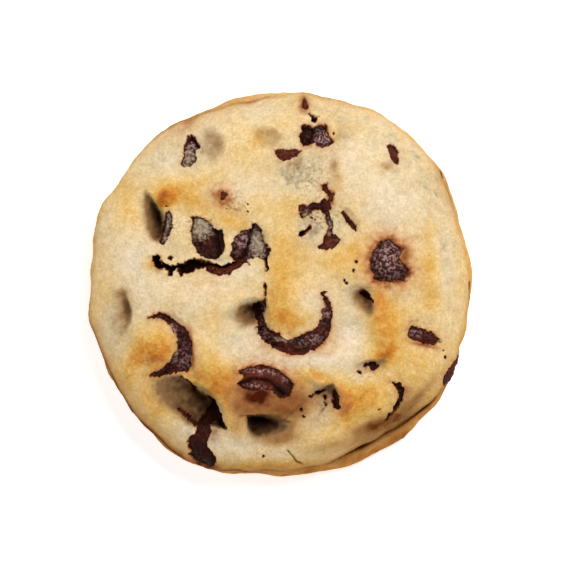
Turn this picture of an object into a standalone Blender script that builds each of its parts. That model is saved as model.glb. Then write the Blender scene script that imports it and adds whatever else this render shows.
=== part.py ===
"""A thick chocolate chip cookie lying flat, 70 mm across and about 19 mm high: one baked dough body, and each
chocolate chip that shows in it as a solid of its own, seated in a pocket of the dough.
Metres, +Z up, the baked underside on z = 0, the middle of the box over the origin.
Places are read as seen from above, in millimetres from the middle: x to the right, y away from the viewer."""

import math

import bmesh
import bpy
import numpy as np
from mathutils import Matrix, Vector

MM = 0.001

# The dough as a plain dome, before any bump is laid on it (millimetres).
RADIUS = 34.9
DOME_HEIGHT = 16.4
SHOULDER_HEIGHT = 6.5
CREASE_HEIGHT = 4.2
FOOT_HEIGHT = 1.7
CREASE_INSET = 0.1
BASE_TUCK = 1.0
ROUNDNESS = 2.5

# Mesh fineness: rings of the sheet before it is thinned, and the share of triangles that is kept.
RINGS = 80
KEEP = 0.142

# Gap between a chip and its pocket.
GAP = 0.3
# A chip's body is this much wider than what shows of it: the dough covers its rim.
COVERED_RIM = 1.3
PIT_DEPTH = 1.1

# Where the outline stands out or in: angle, half width in degrees, millimetres.
OUTLINE = (
    (240, 18, 2.0), (45, 22, 0.9), (305, 28, 1.0), (110, 8, -0.4), (20, 8, -0.5), (345, 10, -0.3),
    (160, 10, 0.5), (197, 14, 0.3), (60, 11, 0.3), (32, 7, 0.3), (82, 8, -0.2), (176, 8, -0.3),
)
# Where the browned foot reaches out from under the dome: angle, half width, millimetres.
LIPS = ((300, 24, 2.4), (100, 10, 1.1), (5, 14, 1.5), (33, 6, 0.8), (245, 40, 0.4))

# Bumps: x, y, half length, half width, turn in degrees, height.
HILLS = (
    (-17.3, 17.1, 10.5, 4.3, 5, 1.3),
    (0.9, 5.0, 14.1, 5.4, 86, 1.5),
    (2.7, -4.1, 6.5, 5.9, 0, 1.6),
    (18.6, -8.1, 8.6, 3.6, 107, 1.4),
    (14.6, -20.7, 7.2, 5.4, -15, 1.3),
    (-22.7, -11.2, 5.6, 5.6, 0, 2.0),
    (-12.4, -15.3, 8.6, 4.3, -58, 1.7),
    (-8.1, -25.0, 6.1, 2.7, -74, 1.3),
    (-0.9, -21.1, 6.1, 4.7, -20, 1.1),
    (-29.4, 8.6, 9.4, 4.0, 80, 0.7),
    (-20.9, 15.0, 3.2, 2.5, 0, 0.6),
    (-17.3, 8.1, 3.6, 2.9, 0, 0.6),
    (-15.5, -2.7, 10.5, 4.7, -5, 0.9),
    (-7.7, 24.0, 8.3, 7.2, 0, 0.7),
    (-5.6, 14.1, 5.0, 2.9, 10, 0.6),
    (16.0, 16.8, 9.0, 7.9, 120, 0.9),
    (11.0, 2.7, 5.8, 4.7, 0, 0.7),
    (19.6, 3.8, 7.9, 7.9, 0, 0.9),
    (27.2, 2.0, 8.6, 2.5, 90, 0.6),
    (25.9, -15.0, 5.8, 4.7, 20, 0.7),
    (-23.6, -21.4, 6.1, 4.0, -55, 0.5),
    (-3.4, -31.4, 7.9, 2.5, 0, 0.5),
    (11.5, -27.6, 11.9, 2.9, 14, 0.8),
    (6.7, -17.8, 4.7, 1.4, -30, 0.9),
    (11.5, -21.4, 4.3, 1.6, -75, 0.7),
    (0.7, 29.0, 3.2, 2.5, 0, 0.4),
    (12.4, 27.9, 2.9, 2.2, 0, 0.4),
)
# Hollows: x, y, half length, half width, turn, depth, lean (0 even, towards 1 one steep wall), way of the steep wall.
HOLLOWS = (
    (-23.4, 11.5, 5.4, 2.7, -74, 2.4, 0.6, 20),
    (-20.7, 9.7, 3.1, 1.3, 80, 1.3, 0.3, 0),
    (-13.2, 7.6, 4.9, 3.6, 85, 1.7, 0.3, -60),
    (-5.8, 7.0, 4.3, 3.8, 20, 1.5, 0.3, 30),
    (4.0, 20.0, 6.5, 4.7, 100, 1.3, 0.3, 0),
    (7.0, 10.3, 5.8, 4.7, 80, 1.1, 0.1, 0),
    (-6.5, -5.9, 4.9, 3.1, 25, 2.3, 0.6, 30),
    (13.2, -3.2, 4.3, 3.1, 20, 1.9, 0.6, 30),
    (11.4, -9.9, 5.4, 4.3, 60, 1.2, 0.2, 0),
    (16.2, -15.5, 3.1, 1.8, 5, 1.5, 0.6, 80),
    (7.6, -21.3, 4.0, 3.2, 40, 1.9, 0.5, 60),
    (-2.7, -26.1, 5.0, 2.7, -5, 2.6, 0.6, 100),
    (-15.1, -22.9, 6.8, 4.3, -42, 3.2, 0.6, 40),
    (-29.9, -5.9, 4.5, 2.5, 80, 1.4, 0.6, 15),
    (29.7, 2.7, 9.0, 1.4, 92, 0.5, 0.0, 0),
    (-3.1, 26.3, 2.7, 1.6, 0, 0.7, 0.3, 90),
    (-12.8, 24.0, 2.7, 2.5, 90, 0.5, 0.0, 0),
    (19.3, 20.7, 1.8, 1.4, 0, 0.4, 0.0, 0),
)
# Curved grooves where the dough has pulled back from a chip: x, y, radius, from, to, half width, depth.
CRESCENTS = (
    (2.7, -6.8, 5.6, 150, 410, 1.2, 1.8),
    (-22.3, -11.2, 5.1, -98, 98, 1.4, 1.9),
    (17.1, -21.4, 4.8, -72, 50, 0.6, 1.9),
)
# Cracks: half width, depth, and the places they run through.
CRACKS = (
    (0.6, 2.2, ((-22.7, 4.9), (-21.3, 3.2), (-19.6, 2.3), (-17.3, 3.1), (-15.1, 3.6), (-12.8, 2.9), (-10.1, 2.2),
                (-7.4, 3.4), (-5.6, 4.5), (-3.4, 4.9), (-2.3, 2.3))),
    (0.8, 1.9, ((3.6, 12.8), (4.9, 13.5), (6.3, 13.9), (7.7, 14.4), (9.0, 14.6))),
    (0.7, 1.9, ((8.6, 14.2), (8.8, 12.4), (9.2, 10.6), (9.4, 9.0))),
    (1.1, 1.8, ((7.4, 7.2), (8.6, 7.4), (9.7, 8.1))),
    (0.4, 1.0, ((3.2, 8.5), (4.3, 9.4), (5.4, 10.6))),
    (0.5, 1.5, ((7.4, 18.0), (8.1, 16.9), (9.0, 15.0))),
    (0.3, 0.9, ((9.4, 23.6), (10.3, 21.8), (10.1, 20.0), (9.6, 17.8))),
    (0.5, 1.2, ((5.4, 30.5), (6.5, 29.2))),
    (0.4, 1.1, ((-16.4, 26.5), (-15.3, 25.6), (-14.4, 24.3))),
    (0.3, 1.1, ((-2.5, 3.8), (-2.3, 1.4), (-2.9, -0.9), (-2.7, -3.1))),
    (0.3, 0.8, ((1.4, -30.1), (2.2, -31.5), (3.4, -32.8))),
    (0.3, 1.0, ((-19.1, -17.3), (-16.8, -18.6), (-15.1, -20.0))),
    (1.0, 1.6, ((-14.1, -25.4), (-13.9, -27.0))),
    (0.4, 1.0, ((-18.0, -22.7), (-16.6, -24.1), (-15.0, -25.4))),
)
# Chips in the top: name, x, y, length and width of what shows, thickness, turn, rise of its top over the dough there,
# pit (1 where the dough leaves the whole oval open, 0 where only a groove or a crack shows the chip).
CHIPS = (
    ("chip_upper_left", -16.6, 23.9, 6.1, 2.4, 4.5, 80, 0.1, 1),
    ("chip_top", 6.5, 26.6, 5.8, 4.1, 5.0, -5, 0.5, 1),
    ("chip_top_edge", 4.3, 32.6, 2.8, 1.2, 3.0, 82, 0.2, 1),
    ("chip_flat", 1.1, 23.1, 4.9, 1.9, 4.0, 0, 0.1, 1),
    ("chip_upper_right", 20.5, 23.0, 3.9, 2.0, 4.0, -69, 0.0, 1),
    ("chip_crack", 8.3, 16.8, 3.0, 1.0, 3.4, -60, -0.1, 1),
    ("chip_horseshoe", 6.7, 10.2, 8.0, 6.0, 5.0, 86, -1.2, 0),
    ("chip_sliver", 12.7, 11.2, 3.9, 1.3, 3.6, -58, 0.0, 1),
    ("chip_round", 19.6, 4.0, 7.4, 6.9, 5.5, -73, 0.7, 1),
    ("chip_right", 25.6, -9.5, 5.3, 2.5, 4.5, -24, 0.2, 1),
    ("chip_lower_right", 17.1, -21.5, 9.4, 8.6, 5.2, 0, -1.7, 0),
    ("chip_dimple", 15.9, -15.0, 3.7, 0.8, 3.0, 10, 0.0, 1),
    ("chip_lower_dimple", 9.9, -20.9, 4.2, 1.2, 3.8, -78, 0.3, 1),
    ("chip_bottom", -2.4, -18.9, 10.2, 7.4, 6.5, -12, -0.9, 0),
    ("chip_centre", 2.7, -6.8, 12.1, 12.1, 7.0, 0, -1.8, 0),
    ("chip_left_dome", -22.3, -11.2, 11.0, 11.0, 6.5, 0, -1.9, 0),
    ("chip_rim", -14.1, -29.8, 6.0, 3.6, 4.6, 80, 0.1, 1),
    ("chip_hollow", -11.9, -22.6, 5.2, 3.0, 4.4, -50, 0.5, 1),
    ("chip_left_sliver", -21.0, 9.6, 5.4, 1.3, 3.8, 80, 0.3, 1),
    ("chip_left", -13.2, 7.7, 7.6, 5.9, 5.6, 90, 0.4, 1),
    ("chip_left_neighbour", -5.7, 7.2, 6.6, 5.2, 5.4, 30, 0.4, 1),
    ("chip_left_crack", -11.6, 1.4, 4.4, 1.0, 3.0, 0, -0.6, 0),
    ("chip_pink", -10.3, 15.8, 2.6, 1.5, 2.8, 60, 0.0, 1),
    ("chip_right_hollow", 15.4, -2.1, 2.4, 1.0, 3.0, -50, 0.2, 1),
    ("chip_centre_left", -7.2, -5.2, 3.0, 2.4, 3.2, 20, 0.2, 1),
)
# Chips that show in the side: name, angle, height of the middle, length along the rim, width, thickness, stands out.
SIDE_CHIPS = (
    ("chip_rim_right", -27.5, 7.2, 7.6, 4.4, 4.0, 0.55),
    ("chip_rim_middle", -4.0, 3.2, 4.8, 2.6, 3.2, 0.45),
    ("chip_rim_upper", 34.0, 6.8, 4.2, 3.4, 3.2, 0.35),
)
# A broad exposed patch on the chip at the bottom, as a pit of its own: x, y, half length, half width, turn.
BARE_PATCH = (-2.8, -17.4, 4.9, 2.5, -6)


def around(theta, table):
    """Sum of smooth bumps placed by angle."""
    total = np.zeros_like(theta)
    for angle, half, size in table:
        off = (theta - math.radians(angle) + math.pi) % (2 * math.pi) - math.pi
        total += size * np.exp(-((np.degrees(off) / half) ** 2))
    return total


def outer_radius(theta):
    return RADIUS + around(theta, OUTLINE)


def dome_radius(theta):
    return outer_radius(theta) - around(theta, LIPS) - 0.15


def turned(x, y, place_x, place_y, half_long, half_wide, turn):
    """Coordinates on a turned oval, of length 1 on its edge."""
    cos, sin = math.cos(math.radians(turn)), math.sin(math.radians(turn))
    along = ((x - place_x) * cos + (y - place_y) * sin) / half_long
    across = (-(x - place_x) * sin + (y - place_y) * cos) / half_wide
    return along, across


def bowl(d):
    return np.clip(1 - d * d, 0, None) ** 2


def leaning(u, v, lean, way, turn):
    """Distance on an oval whose deepest place has slid towards one wall."""
    ex = lean * math.cos(math.radians(way - turn))
    ey = lean * math.sin(math.radians(way - turn))
    dot = (u - ex) * ex + (v - ey) * ey
    gap = (u - ex) ** 2 + (v - ey) ** 2
    rest = 1 - lean * lean
    return (dot + np.sqrt(dot * dot + rest * gap)) / rest


def to_path(x, y, path):
    """Distance to a line through several places."""
    best = np.full_like(x, 1e9)
    for (ax, ay), (bx, by) in zip(path[:-1], path[1:]):
        dx, dy = bx - ax, by - ay
        share = np.clip(((x - ax) * dx + (y - ay) * dy) / (dx * dx + dy * dy), 0, 1)
        best = np.minimum(best, np.hypot(x - ax - share * dx, y - ay - share * dy))
    return best


def waves(x, y, length, seed):
    """Soft irregular waves between about -1 and 1."""
    chance = np.random.default_rng(seed)
    total = np.zeros_like(x)
    for _ in range(14):
        way, phase = chance.uniform(0, 2 * math.pi, 2)
        step = 2 * math.pi / (length * chance.uniform(0.7, 1.6))
        total += np.sin((x * math.cos(way) + y * math.sin(way)) * step + phase)
    return total / 5


def landscape(x, y):
    """Bumps, hollows, grooves and cracks over the plain dome, but no pits for chips."""
    high = 0.35 * waves(x, y, 13, 3) + 0.14 * waves(x, y, 4.5, 8)
    for place_x, place_y, half_long, half_wide, turn, height in HILLS:
        u, v = turned(x, y, place_x, place_y, half_long, half_wide, turn)
        high += height * bowl(np.hypot(u, v))
    for place_x, place_y, half_long, half_wide, turn, depth, lean, way in HOLLOWS:
        u, v = turned(x, y, place_x, place_y, half_long, half_wide, turn)
        high -= depth * bowl(leaning(u, v, lean, way, turn))
    return high


def grooves(x, y):
    low = np.zeros_like(x)
    ragged = 1 + 0.35 * waves(x, y, 1.6, 21)
    for place_x, place_y, radius, start, end, half, depth in CRESCENTS:
        angle = np.degrees(np.arctan2(y - place_y, x - place_x))
        middle = (start + end) / 2
        off = (angle - middle + 180) % 360 - 180
        taper = np.sqrt(np.clip(1 - (off / ((end - start) / 2)) ** 2, 0, 1))
        off_ring = np.abs(np.hypot(x - place_x, y - place_y) - radius)
        share = np.clip(1 - (off_ring / (half * np.maximum(taper, 0.05))) ** 2, 0, 1)
        low += depth * np.sqrt(share) * np.sqrt(taper)
    for half, depth, path in CRACKS:
        share = np.clip(1 - to_path(x, y, path) / (1.15 * half * ragged), 0, 1)
        low += depth * share ** 0.7
    return low


def pits(x, y):
    low = np.zeros_like(x)
    open_ovals = [(c[1], c[2], c[3] / 2, c[4] / 2, c[6]) for c in CHIPS if c[8]] + [BARE_PATCH]
    for place_x, place_y, half_long, half_wide, turn in open_ovals:
        u, v = turned(x, y, place_x, place_y, half_long, half_wide, turn)
        wall = np.clip((1.25 - np.hypot(u, v)) / 0.4, 0, 1)
        low = np.maximum(low, PIT_DEPTH * wall * wall * (3 - 2 * wall))
    return low


def dome_point(q, theta):
    """Radius, height and slope normal (outward, up) of the plain dome at a share q of its radius."""
    reach = dome_radius(theta)
    rise = DOME_HEIGHT - SHOULDER_HEIGHT
    share = np.clip(1 - q ** ROUNDNESS, 1e-4, 1)
    slope = rise * 0.5 * share ** -0.5 * ROUNDNESS * np.maximum(q, 1e-9) ** (ROUNDNESS - 1) / reach
    length = np.hypot(1, slope)
    return reach * q, SHOULDER_HEIGHT + rise * np.sqrt(share), slope / length, 1 / length


def bezier(points, t):
    a, b, c, d = points
    return (1 - t) ** 3 * a + 3 * (1 - t) ** 2 * t * b + 3 * (1 - t) * t * t * c + t ** 3 * d


def profile(s, theta):
    """The plain section: s from 0 to 1 over the dome, to 2 down to the crease, to 3 out to the foot, to 4 under it."""
    radius, height, _, _ = dome_point(np.sin(np.clip(s, 0, 1) * math.pi / 2) ** (2 / ROUNDNESS), theta)
    height = np.where(s >= 1, SHOULDER_HEIGHT, height)
    inner, outer = dome_radius(theta), outer_radius(theta)
    crease = inner - CREASE_INSET - 0.17 * around(theta, LIPS)
    foot = outer - crease
    pieces = (
        (inner, SHOULDER_HEIGHT, inner, SHOULDER_HEIGHT - 1.2, crease + 0.35, CREASE_HEIGHT + 0.6, crease, CREASE_HEIGHT),
        (crease, CREASE_HEIGHT, crease + 0.5 * foot, CREASE_HEIGHT - 0.3, outer, FOOT_HEIGHT + 1.2, outer, FOOT_HEIGHT),
        (outer, FOOT_HEIGHT, outer, FOOT_HEIGHT - 0.9, outer - 0.5 * BASE_TUCK, 0.1, outer - BASE_TUCK, 0.0),
    )
    for number, (r0, z0, r1, z1, r2, z2, r3, z3) in enumerate(pieces, 1):
        t = np.clip(s - number, 0, 1)
        here = s > number
        radius = np.where(here, bezier((r0, r1, r2, r3), t), radius)
        height = np.where(here, bezier((z0, z1, z2, z3), t), height)
    return radius, height


def even_steps(rings):
    """Values of s that cut the mean section into equal lengths."""
    s = np.linspace(0, 4, 4001)
    radius, height = profile(s, np.full_like(s, math.radians(150)))
    length = np.concatenate([[0], np.cumsum(np.hypot(np.diff(radius), np.diff(height)))])
    return np.interp(np.linspace(0, length[-1], rings + 1), length, s)


def dough_points(rings):
    """Points of a sheet of rings, ring k with 6k places, laid over the dome and down to the underside."""
    ring = np.concatenate([np.full(max(6 * k, 1), k) for k in range(rings + 1)])
    theta = np.concatenate([np.arange(max(6 * k, 1)) * 2 * math.pi / max(6 * k, 1) for k in range(rings + 1)])
    s = even_steps(rings)[ring]
    step = 1e-3
    radius, height = profile(s, theta)
    before, after = profile(np.maximum(s - step, 0), theta), profile(np.minimum(s + step, 4), theta)
    out, up = -(after[1] - before[1]), after[0] - before[0]
    length = np.hypot(out, up)
    out, up = out / length, up / length
    x, y = radius * np.cos(theta), radius * np.sin(theta)
    fade = np.clip(2.0 - s, 0, 1)
    fade = fade * fade * (3 - 2 * fade)
    lift = (landscape(x, y) - grooves(x, y) - pits(x, y)) * (0.12 + 0.88 * fade)
    side = 0.22 * waves(theta * 34, height * 1.5, 6, 40) * np.clip(s - 0.8, 0, 1) * np.clip((4 - s) * 2, 0, 1)
    lift = lift * np.clip((4 - s) * 2, 0, 1) + side
    return np.stack([x + lift * out * np.cos(theta), y + lift * out * np.sin(theta), height + lift * up], axis=1)


def dough_faces(rings):
    """Triangles of the sheet, and one flat face that closes it underneath."""
    faces = []
    start, inner = 1, 0
    for k in range(1, rings + 1):
        for side in range(6):
            for j in range(k):
                near = inner + (side * (k - 1) + j) % max(6 * (k - 1), 1)
                far, beyond = start + side * k + j, start + (side * k + j + 1) % (6 * k)
                faces.append((near, far, beyond))
                if j < k - 1:
                    faces.append((near, beyond, inner + (side * (k - 1) + j + 1) % (6 * (k - 1))))
        inner, start = start, start + 6 * k
    faces.append(tuple(range(start - 1, inner - 1, -1)))
    return faces


def new_object(name, points, faces):
    mesh = bpy.data.meshes.new(name)
    mesh.from_pydata((np.asarray(points) * MM).tolist(), [], faces)
    mesh.validate()
    made = bpy.data.objects.new(name, mesh)
    bpy.context.scene.collection.objects.link(made)
    return made


def bake_modifiers(made):
    """Replaces the mesh by what the modifiers make of it."""
    graph = bpy.context.evaluated_depsgraph_get()
    mesh = bpy.data.meshes.new_from_object(made.evaluated_get(graph))
    made.modifiers.clear()
    made.data = mesh


def lump(columns, rows, half_long, half_wide, half_thick):
    """A rounded, slightly boxy lump: points and outward faces."""
    points = [(0, 0, half_thick)]
    for row in range(1, rows):
        tilt = math.pi * row / rows
        wide, high = math.sin(tilt) ** 0.75, math.cos(tilt)
        high = math.copysign(abs(high) ** 0.75, high)
        for column in range(columns):
            turn = 2 * math.pi * (column + 0.5 * (row % 2)) / columns
            points.append((half_long * wide * math.cos(turn), half_wide * wide * math.sin(turn), half_thick * high))
    points.append((0, 0, -half_thick))
    last = len(points) - 1
    faces = []
    for column in range(columns):
        right = (column + 1) % columns
        faces.append((0, 1 + column, 1 + right))
        faces.append((last, last - columns + right, last - columns + column))
        for row in range(1, rows - 1):
            a, b = 1 + (row - 1) * columns + column, 1 + (row - 1) * columns + right
            c, d = a + columns, b + columns
            if row % 2:
                faces += [(a, c, b), (b, c, d)]
            else:
                faces += [(a, c, d), (a, d, b)]
    return np.array(points, float), faces


def chip_frames():
    """Each chip's name, half sizes and the matrix that seats it, in millimetres."""
    for name, x, y, seen_long, seen_wide, thick, turn, rise, _ in CHIPS:
        px, py = np.array([x]), np.array([y])
        theta = np.arctan2(py, px)
        q = np.hypot(px, py) / dome_radius(theta)
        radius, height, out, up = (float(v[0]) for v in dome_point(q, theta))
        level = float((landscape(px, py))[0])
        normal = Vector((out * math.cos(theta[0]), out * math.sin(theta[0]), up))
        middle = Vector((x, y, height)) + normal * (level + rise - thick / 2)
        lean = Vector((0, 0, 1)).rotation_difference(normal).to_matrix().to_4x4()
        seat = Matrix.Translation(middle) @ lean @ Matrix.Rotation(math.radians(turn), 4, "Z")
        yield name, (seen_long + COVERED_RIM) / 2, (seen_wide + COVERED_RIM) / 2, thick / 2, seat
    for name, angle, height, long, wide, thick, stands in SIDE_CHIPS:
        theta = math.radians(angle)
        out = Vector((math.cos(theta), math.sin(theta), 0.25)).normalized()
        along = Vector((-math.sin(theta), math.cos(theta), 0))
        section = np.linspace(4, 1, 601)
        radii, heights = profile(section, np.full_like(section, theta))
        reach = float(np.interp(height, heights, radii))
        middle = Vector((reach * math.cos(theta), reach * math.sin(theta), height)) + out * (stands - thick / 2)
        axes = Matrix((along, out.cross(along), out)).transposed().to_4x4()
        yield name, long / 2, wide / 2, thick / 2, Matrix.Translation(middle) @ axes


def seated(seat, points):
    return np.array([seat @ Vector(point) for point in points])


def keep_largest(mesh):
    """Removes crumbs that a cut has freed."""
    shape = bmesh.new()
    shape.from_mesh(mesh)
    bmesh.ops.remove_doubles(shape, verts=shape.verts, dist=2e-6)
    bmesh.ops.dissolve_degenerate(shape, edges=shape.edges, dist=2e-6)
    bmesh.ops.triangulate(shape, faces=shape.faces)
    left, pieces = set(shape.verts), []
    while left:
        stack, piece = [left.pop()], []
        while stack:
            vert = stack.pop()
            piece.append(vert)
            for edge in vert.link_edges:
                other = edge.other_vert(vert)
                if other in left:
                    left.discard(other)
                    stack.append(other)
        pieces.append(piece)
    largest = max(pieces, key=len)
    for piece in pieces:
        if piece is not largest:
            bmesh.ops.delete(shape, geom=piece, context="VERTS")
    shape.to_mesh(mesh)
    shape.free()


def material(name, color, roughness):
    made = bpy.data.materials.new(name)
    made.use_nodes = True
    shader = made.node_tree.nodes["Principled BSDF"]
    shader.inputs["Base Color"].default_value = (*color, 1)
    shader.inputs["Roughness"].default_value = roughness
    return made


for old in list(bpy.data.objects):
    bpy.data.objects.remove(old)

# The dough: a fine sheet, thinned where it is smooth, with a flat underside.
dough = new_object("dough", dough_points(RINGS), dough_faces(RINGS))
thin = dough.modifiers.new("thin", "DECIMATE")
thin.ratio = KEEP
thin.use_collapse_triangulate = True
bake_modifiers(dough)
for vertex in dough.data.vertices:
    if vertex.co.z < 0.15 * MM:
        vertex.co.z = 0.0

# The chips, each cut out of the dough as a slightly larger pocket.
chips = []
for name, half_long, half_wide, half_thick, seat in chip_frames():
    columns, rows = (12, 7) if half_long > 3.6 else (9, 5)
    points, faces = lump(columns, rows, half_long, half_wide, half_thick)
    chips.append(new_object(name, seated(seat, points), faces))
    grown, _ = lump(columns, rows, half_long + GAP, half_wide + GAP, half_thick + GAP)
    pocket = new_object("pocket", seated(seat, grown), faces)
    cut = dough.modifiers.new("pocket", "BOOLEAN")
    cut.operation = "DIFFERENCE"
    cut.solver = "EXACT"
    cut.object = pocket
    bake_modifiers(dough)
    bpy.data.objects.remove(pocket)
keep_largest(dough.data)

# The middle of the whole box goes over the origin.
corners = np.concatenate([[tuple(vertex.co) for vertex in made.data.vertices] for made in [dough, *chips]])
low, high = corners.min(axis=0), corners.max(axis=0)
shift = Matrix.Translation((-(low[0] + high[0]) / 2, -(low[1] + high[1]) / 2, -low[2]))
for made in [dough, *chips]:
    made.data.transform(shift)

baked_dough = material("baked_dough", (0.74, 0.56, 0.32), 0.6)
chocolate = material("chocolate", (0.055, 0.018, 0.011), 0.35)
dough.data.materials.clear()
dough.data.materials.append(baked_dough)
for chip in chips:
    chip.data.materials.append(chocolate)
print("box in mm", np.round((high - low) / MM, 2), "shift", np.round(np.array(shift.translation) / MM, 3))
print("dough triangles", len(dough.data.polygons), "all", sum(len(made.data.polygons) for made in [dough, *chips]))
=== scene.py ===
# %% [markdown]
# # A thick chocolate chip cookie, seen from above
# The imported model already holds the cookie's solids: one dough body and the chocolate chips in its pockets.
# Here each of them gets a finely shaped skin and a baked or chocolate finish, without changing its size.
# Lengths are written in millimetres and turned to metres by MM. Places on the top are x to the right and
# y away from the viewer, from the middle of the cookie, as in the solids.

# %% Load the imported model
import math

import bpy
import numpy as np
from mathutils import Matrix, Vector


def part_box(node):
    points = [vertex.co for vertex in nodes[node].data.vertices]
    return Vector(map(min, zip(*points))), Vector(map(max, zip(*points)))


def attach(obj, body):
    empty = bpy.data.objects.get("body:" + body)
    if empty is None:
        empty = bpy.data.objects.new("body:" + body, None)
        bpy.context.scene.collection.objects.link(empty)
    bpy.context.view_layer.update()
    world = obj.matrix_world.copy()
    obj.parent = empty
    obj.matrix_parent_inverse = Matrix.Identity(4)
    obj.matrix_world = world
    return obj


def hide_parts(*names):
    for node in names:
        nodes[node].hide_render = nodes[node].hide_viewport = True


MM = 0.001
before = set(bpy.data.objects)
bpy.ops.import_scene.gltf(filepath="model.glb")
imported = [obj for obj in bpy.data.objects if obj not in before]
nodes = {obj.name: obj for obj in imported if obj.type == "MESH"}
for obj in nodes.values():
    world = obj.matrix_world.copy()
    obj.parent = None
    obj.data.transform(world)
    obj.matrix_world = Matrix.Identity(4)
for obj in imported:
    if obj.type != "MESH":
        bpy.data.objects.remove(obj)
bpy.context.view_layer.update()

# %% [markdown]
# ## Camera
# The photograph looks straight down through a long lens, so that the sides hardly show. The cookie fills
# 383 of 563 pixels, which is 70 mm of a frame 102.9 mm wide at the height of its outline. A 278 mm lens on
# the usual 36 mm sensor sees that width from 0.8 m away.

# %% Camera
FRAME_WIDTH = 102.9 * MM
OUTLINE_HEIGHT = 4 * MM
LENS = 278
SENSOR = 36
AIM = (0.1 * MM, 0.55 * MM)

camera_data = bpy.data.cameras.new("camera")
camera_data.lens = LENS
camera_data.sensor_width = SENSOR
camera_data.clip_start = 0.01
camera = bpy.data.objects.new("camera", camera_data)
bpy.context.scene.collection.objects.link(camera)
camera.location = (*AIM, OUTLINE_HEIGHT + FRAME_WIDTH * LENS / SENSOR)
bpy.context.scene.camera = camera
print("camera height in mm:", round(camera.location.z / MM, 1))

# %% [markdown]
# ## Colours and nodes
# Colours are written as the sRGB hex values that a picture shows. Blender's shaders want linear light, so one
# function turns them. One more adds a node to a material, with its settings and links in one call.

# %% Helpers for colours and nodes
def linear(hex_color):
    """Linear red, green, blue and alpha of an sRGB hex colour."""
    values = [int(hex_color[i:i + 2], 16) / 255 for i in (1, 3, 5)]
    return (*[v / 12.92 if v <= 0.04045 else ((v + 0.055) / 1.055) ** 2.4 for v in values], 1.0)


def add_node(material, kind, links=None, values=None, **settings):
    """Adds a node. links and values go to inputs, by name or number."""
    node = material.node_tree.nodes.new(kind)
    for name, value in settings.items():
        setattr(node, name, value)
    for name, value in (values or {}).items():
        node.inputs[name].default_value = value
    for name, output in (links or {}).items():
        material.node_tree.links.new(output, node.inputs[name])
    return node


def new_material(name):
    """An empty Principled material and its shader node."""
    material = bpy.data.materials.new(name)
    material.use_nodes = True
    return material, material.node_tree.nodes["Principled BSDF"]


def set_ramp(node, stops):
    """Colour stops of a ramp: (position, hex colour)."""
    elements = node.color_ramp.elements
    while len(elements) > 1:
        elements.remove(elements[-1])
    elements[0].position, elements[0].color = stops[0][0], linear(stops[0][1])
    for position, color in stops[1:]:
        elements.new(position).color = linear(color)

# %% [markdown]
# ## Floor and light
# The cookie was lit softly from the upper right, over a white table that glows a little, so that shadows
# hardly show. A wide key light gives the ridges a bright side and leaves the hollows dim, and weaker ones at
# the left and the near side open the rest. They stand low, so that flat chocolate doesn't mirror them to the
# camera.

# %% Floor and light
FLOOR_SIZE = 3.0
FLOOR_DROP = 0.15 * MM
FLOOR_GLOW = 0.55

bpy.ops.object.select_all(action="DESELECT")
bpy.ops.mesh.primitive_plane_add(size=FLOOR_SIZE, location=(0, 0, -FLOOR_DROP))
floor = bpy.context.object
floor.name = "floor"
floor_paint, floor_shader = new_material("white_sweep_paper")
floor_shader.inputs["Base Color"].default_value = linear("#fafafa")
floor_shader.inputs["Roughness"].default_value = 0.9
floor_shader.inputs["Emission Color"].default_value = linear("#ffffff")
floor_shader.inputs["Emission Strength"].default_value = FLOOR_GLOW
floor.data.materials.append(floor_paint)


def area_light(name, place, size, power, color="#ffffff"):
    """A square soft light that faces the cookie."""
    data = bpy.data.lights.new(name, "AREA")
    data.size = size
    data.energy = power
    data.color = linear(color)[:3]
    light = bpy.data.objects.new(name, data)
    bpy.context.scene.collection.objects.link(light)
    light.location = place
    light.rotation_euler = light.location.to_track_quat("Z", "Y").to_euler()
    return light


area_light("key_light", (0.27, 0.38, 0.70), 0.30, 4.7, "#fff8ee")
area_light("left_fill", (-0.70, 0.05, 0.45), 0.60, 1.6)
area_light("near_fill", (0.10, -0.75, 0.42), 0.60, 1.15)
surround = bpy.data.worlds.new("white_surround")
surround.use_nodes = True
surround.node_tree.nodes["Background"].inputs["Color"].default_value = linear("#ffffff")
surround.node_tree.nodes["Background"].inputs["Strength"].default_value = 0.25
bpy.context.scene.world = surround
bpy.context.scene.view_settings.view_transform = "Standard"

# %% [markdown]
# ## The shape of the dough
# A ball of dough slumps in the oven to a dome over a browned foot. What makes this one is its landscape:
# ridges and domes where the dough rose, hollows where chips lie under it, crescents where it pulled back from
# a chip, and a long crack. Each is one line of a table, by its place, size and height, so that a maker can
# move or soften any of them.

# %% The plain dome
# The dough as a plain dome, before any bump is laid on it (millimetres).
RADIUS = 34.9
OUTLINE_ROUGH = 0.1
DOME_INSET = 0.15
DOME_HEIGHT = 16.4
SHOULDER_HEIGHT = 6.5
CREASE_HEIGHT = 4.2
FOOT_HEIGHT = 1.7
CREASE_INSET = 0.1
BASE_TUCK = 1.0
ROUNDNESS = 2.5


# %% The landscape's tables
# Where the outline stands out or in: angle, half width in degrees, millimetres.
OUTLINE = (
    (240, 18, 2.0), (45, 22, 0.9), (305, 28, 1.0), (110, 8, -0.4), (20, 8, -0.5), (345, 10, -0.3),
    (160, 10, 0.5), (197, 14, 0.3), (60, 11, 0.3), (32, 7, 0.3), (82, 8, -0.2), (176, 8, -0.3),
    (322, 11, 0.6), (120, 8, -0.35), (148, 7, -0.3), (210, 8, 0.4),
)
# Where the browned foot reaches out from under the dome: angle, half width, millimetres.
LIPS = ((300, 24, 2.4), (100, 10, 1.1), (5, 14, 0.9), (33, 6, 0.6), (245, 40, 0.15))

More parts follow.
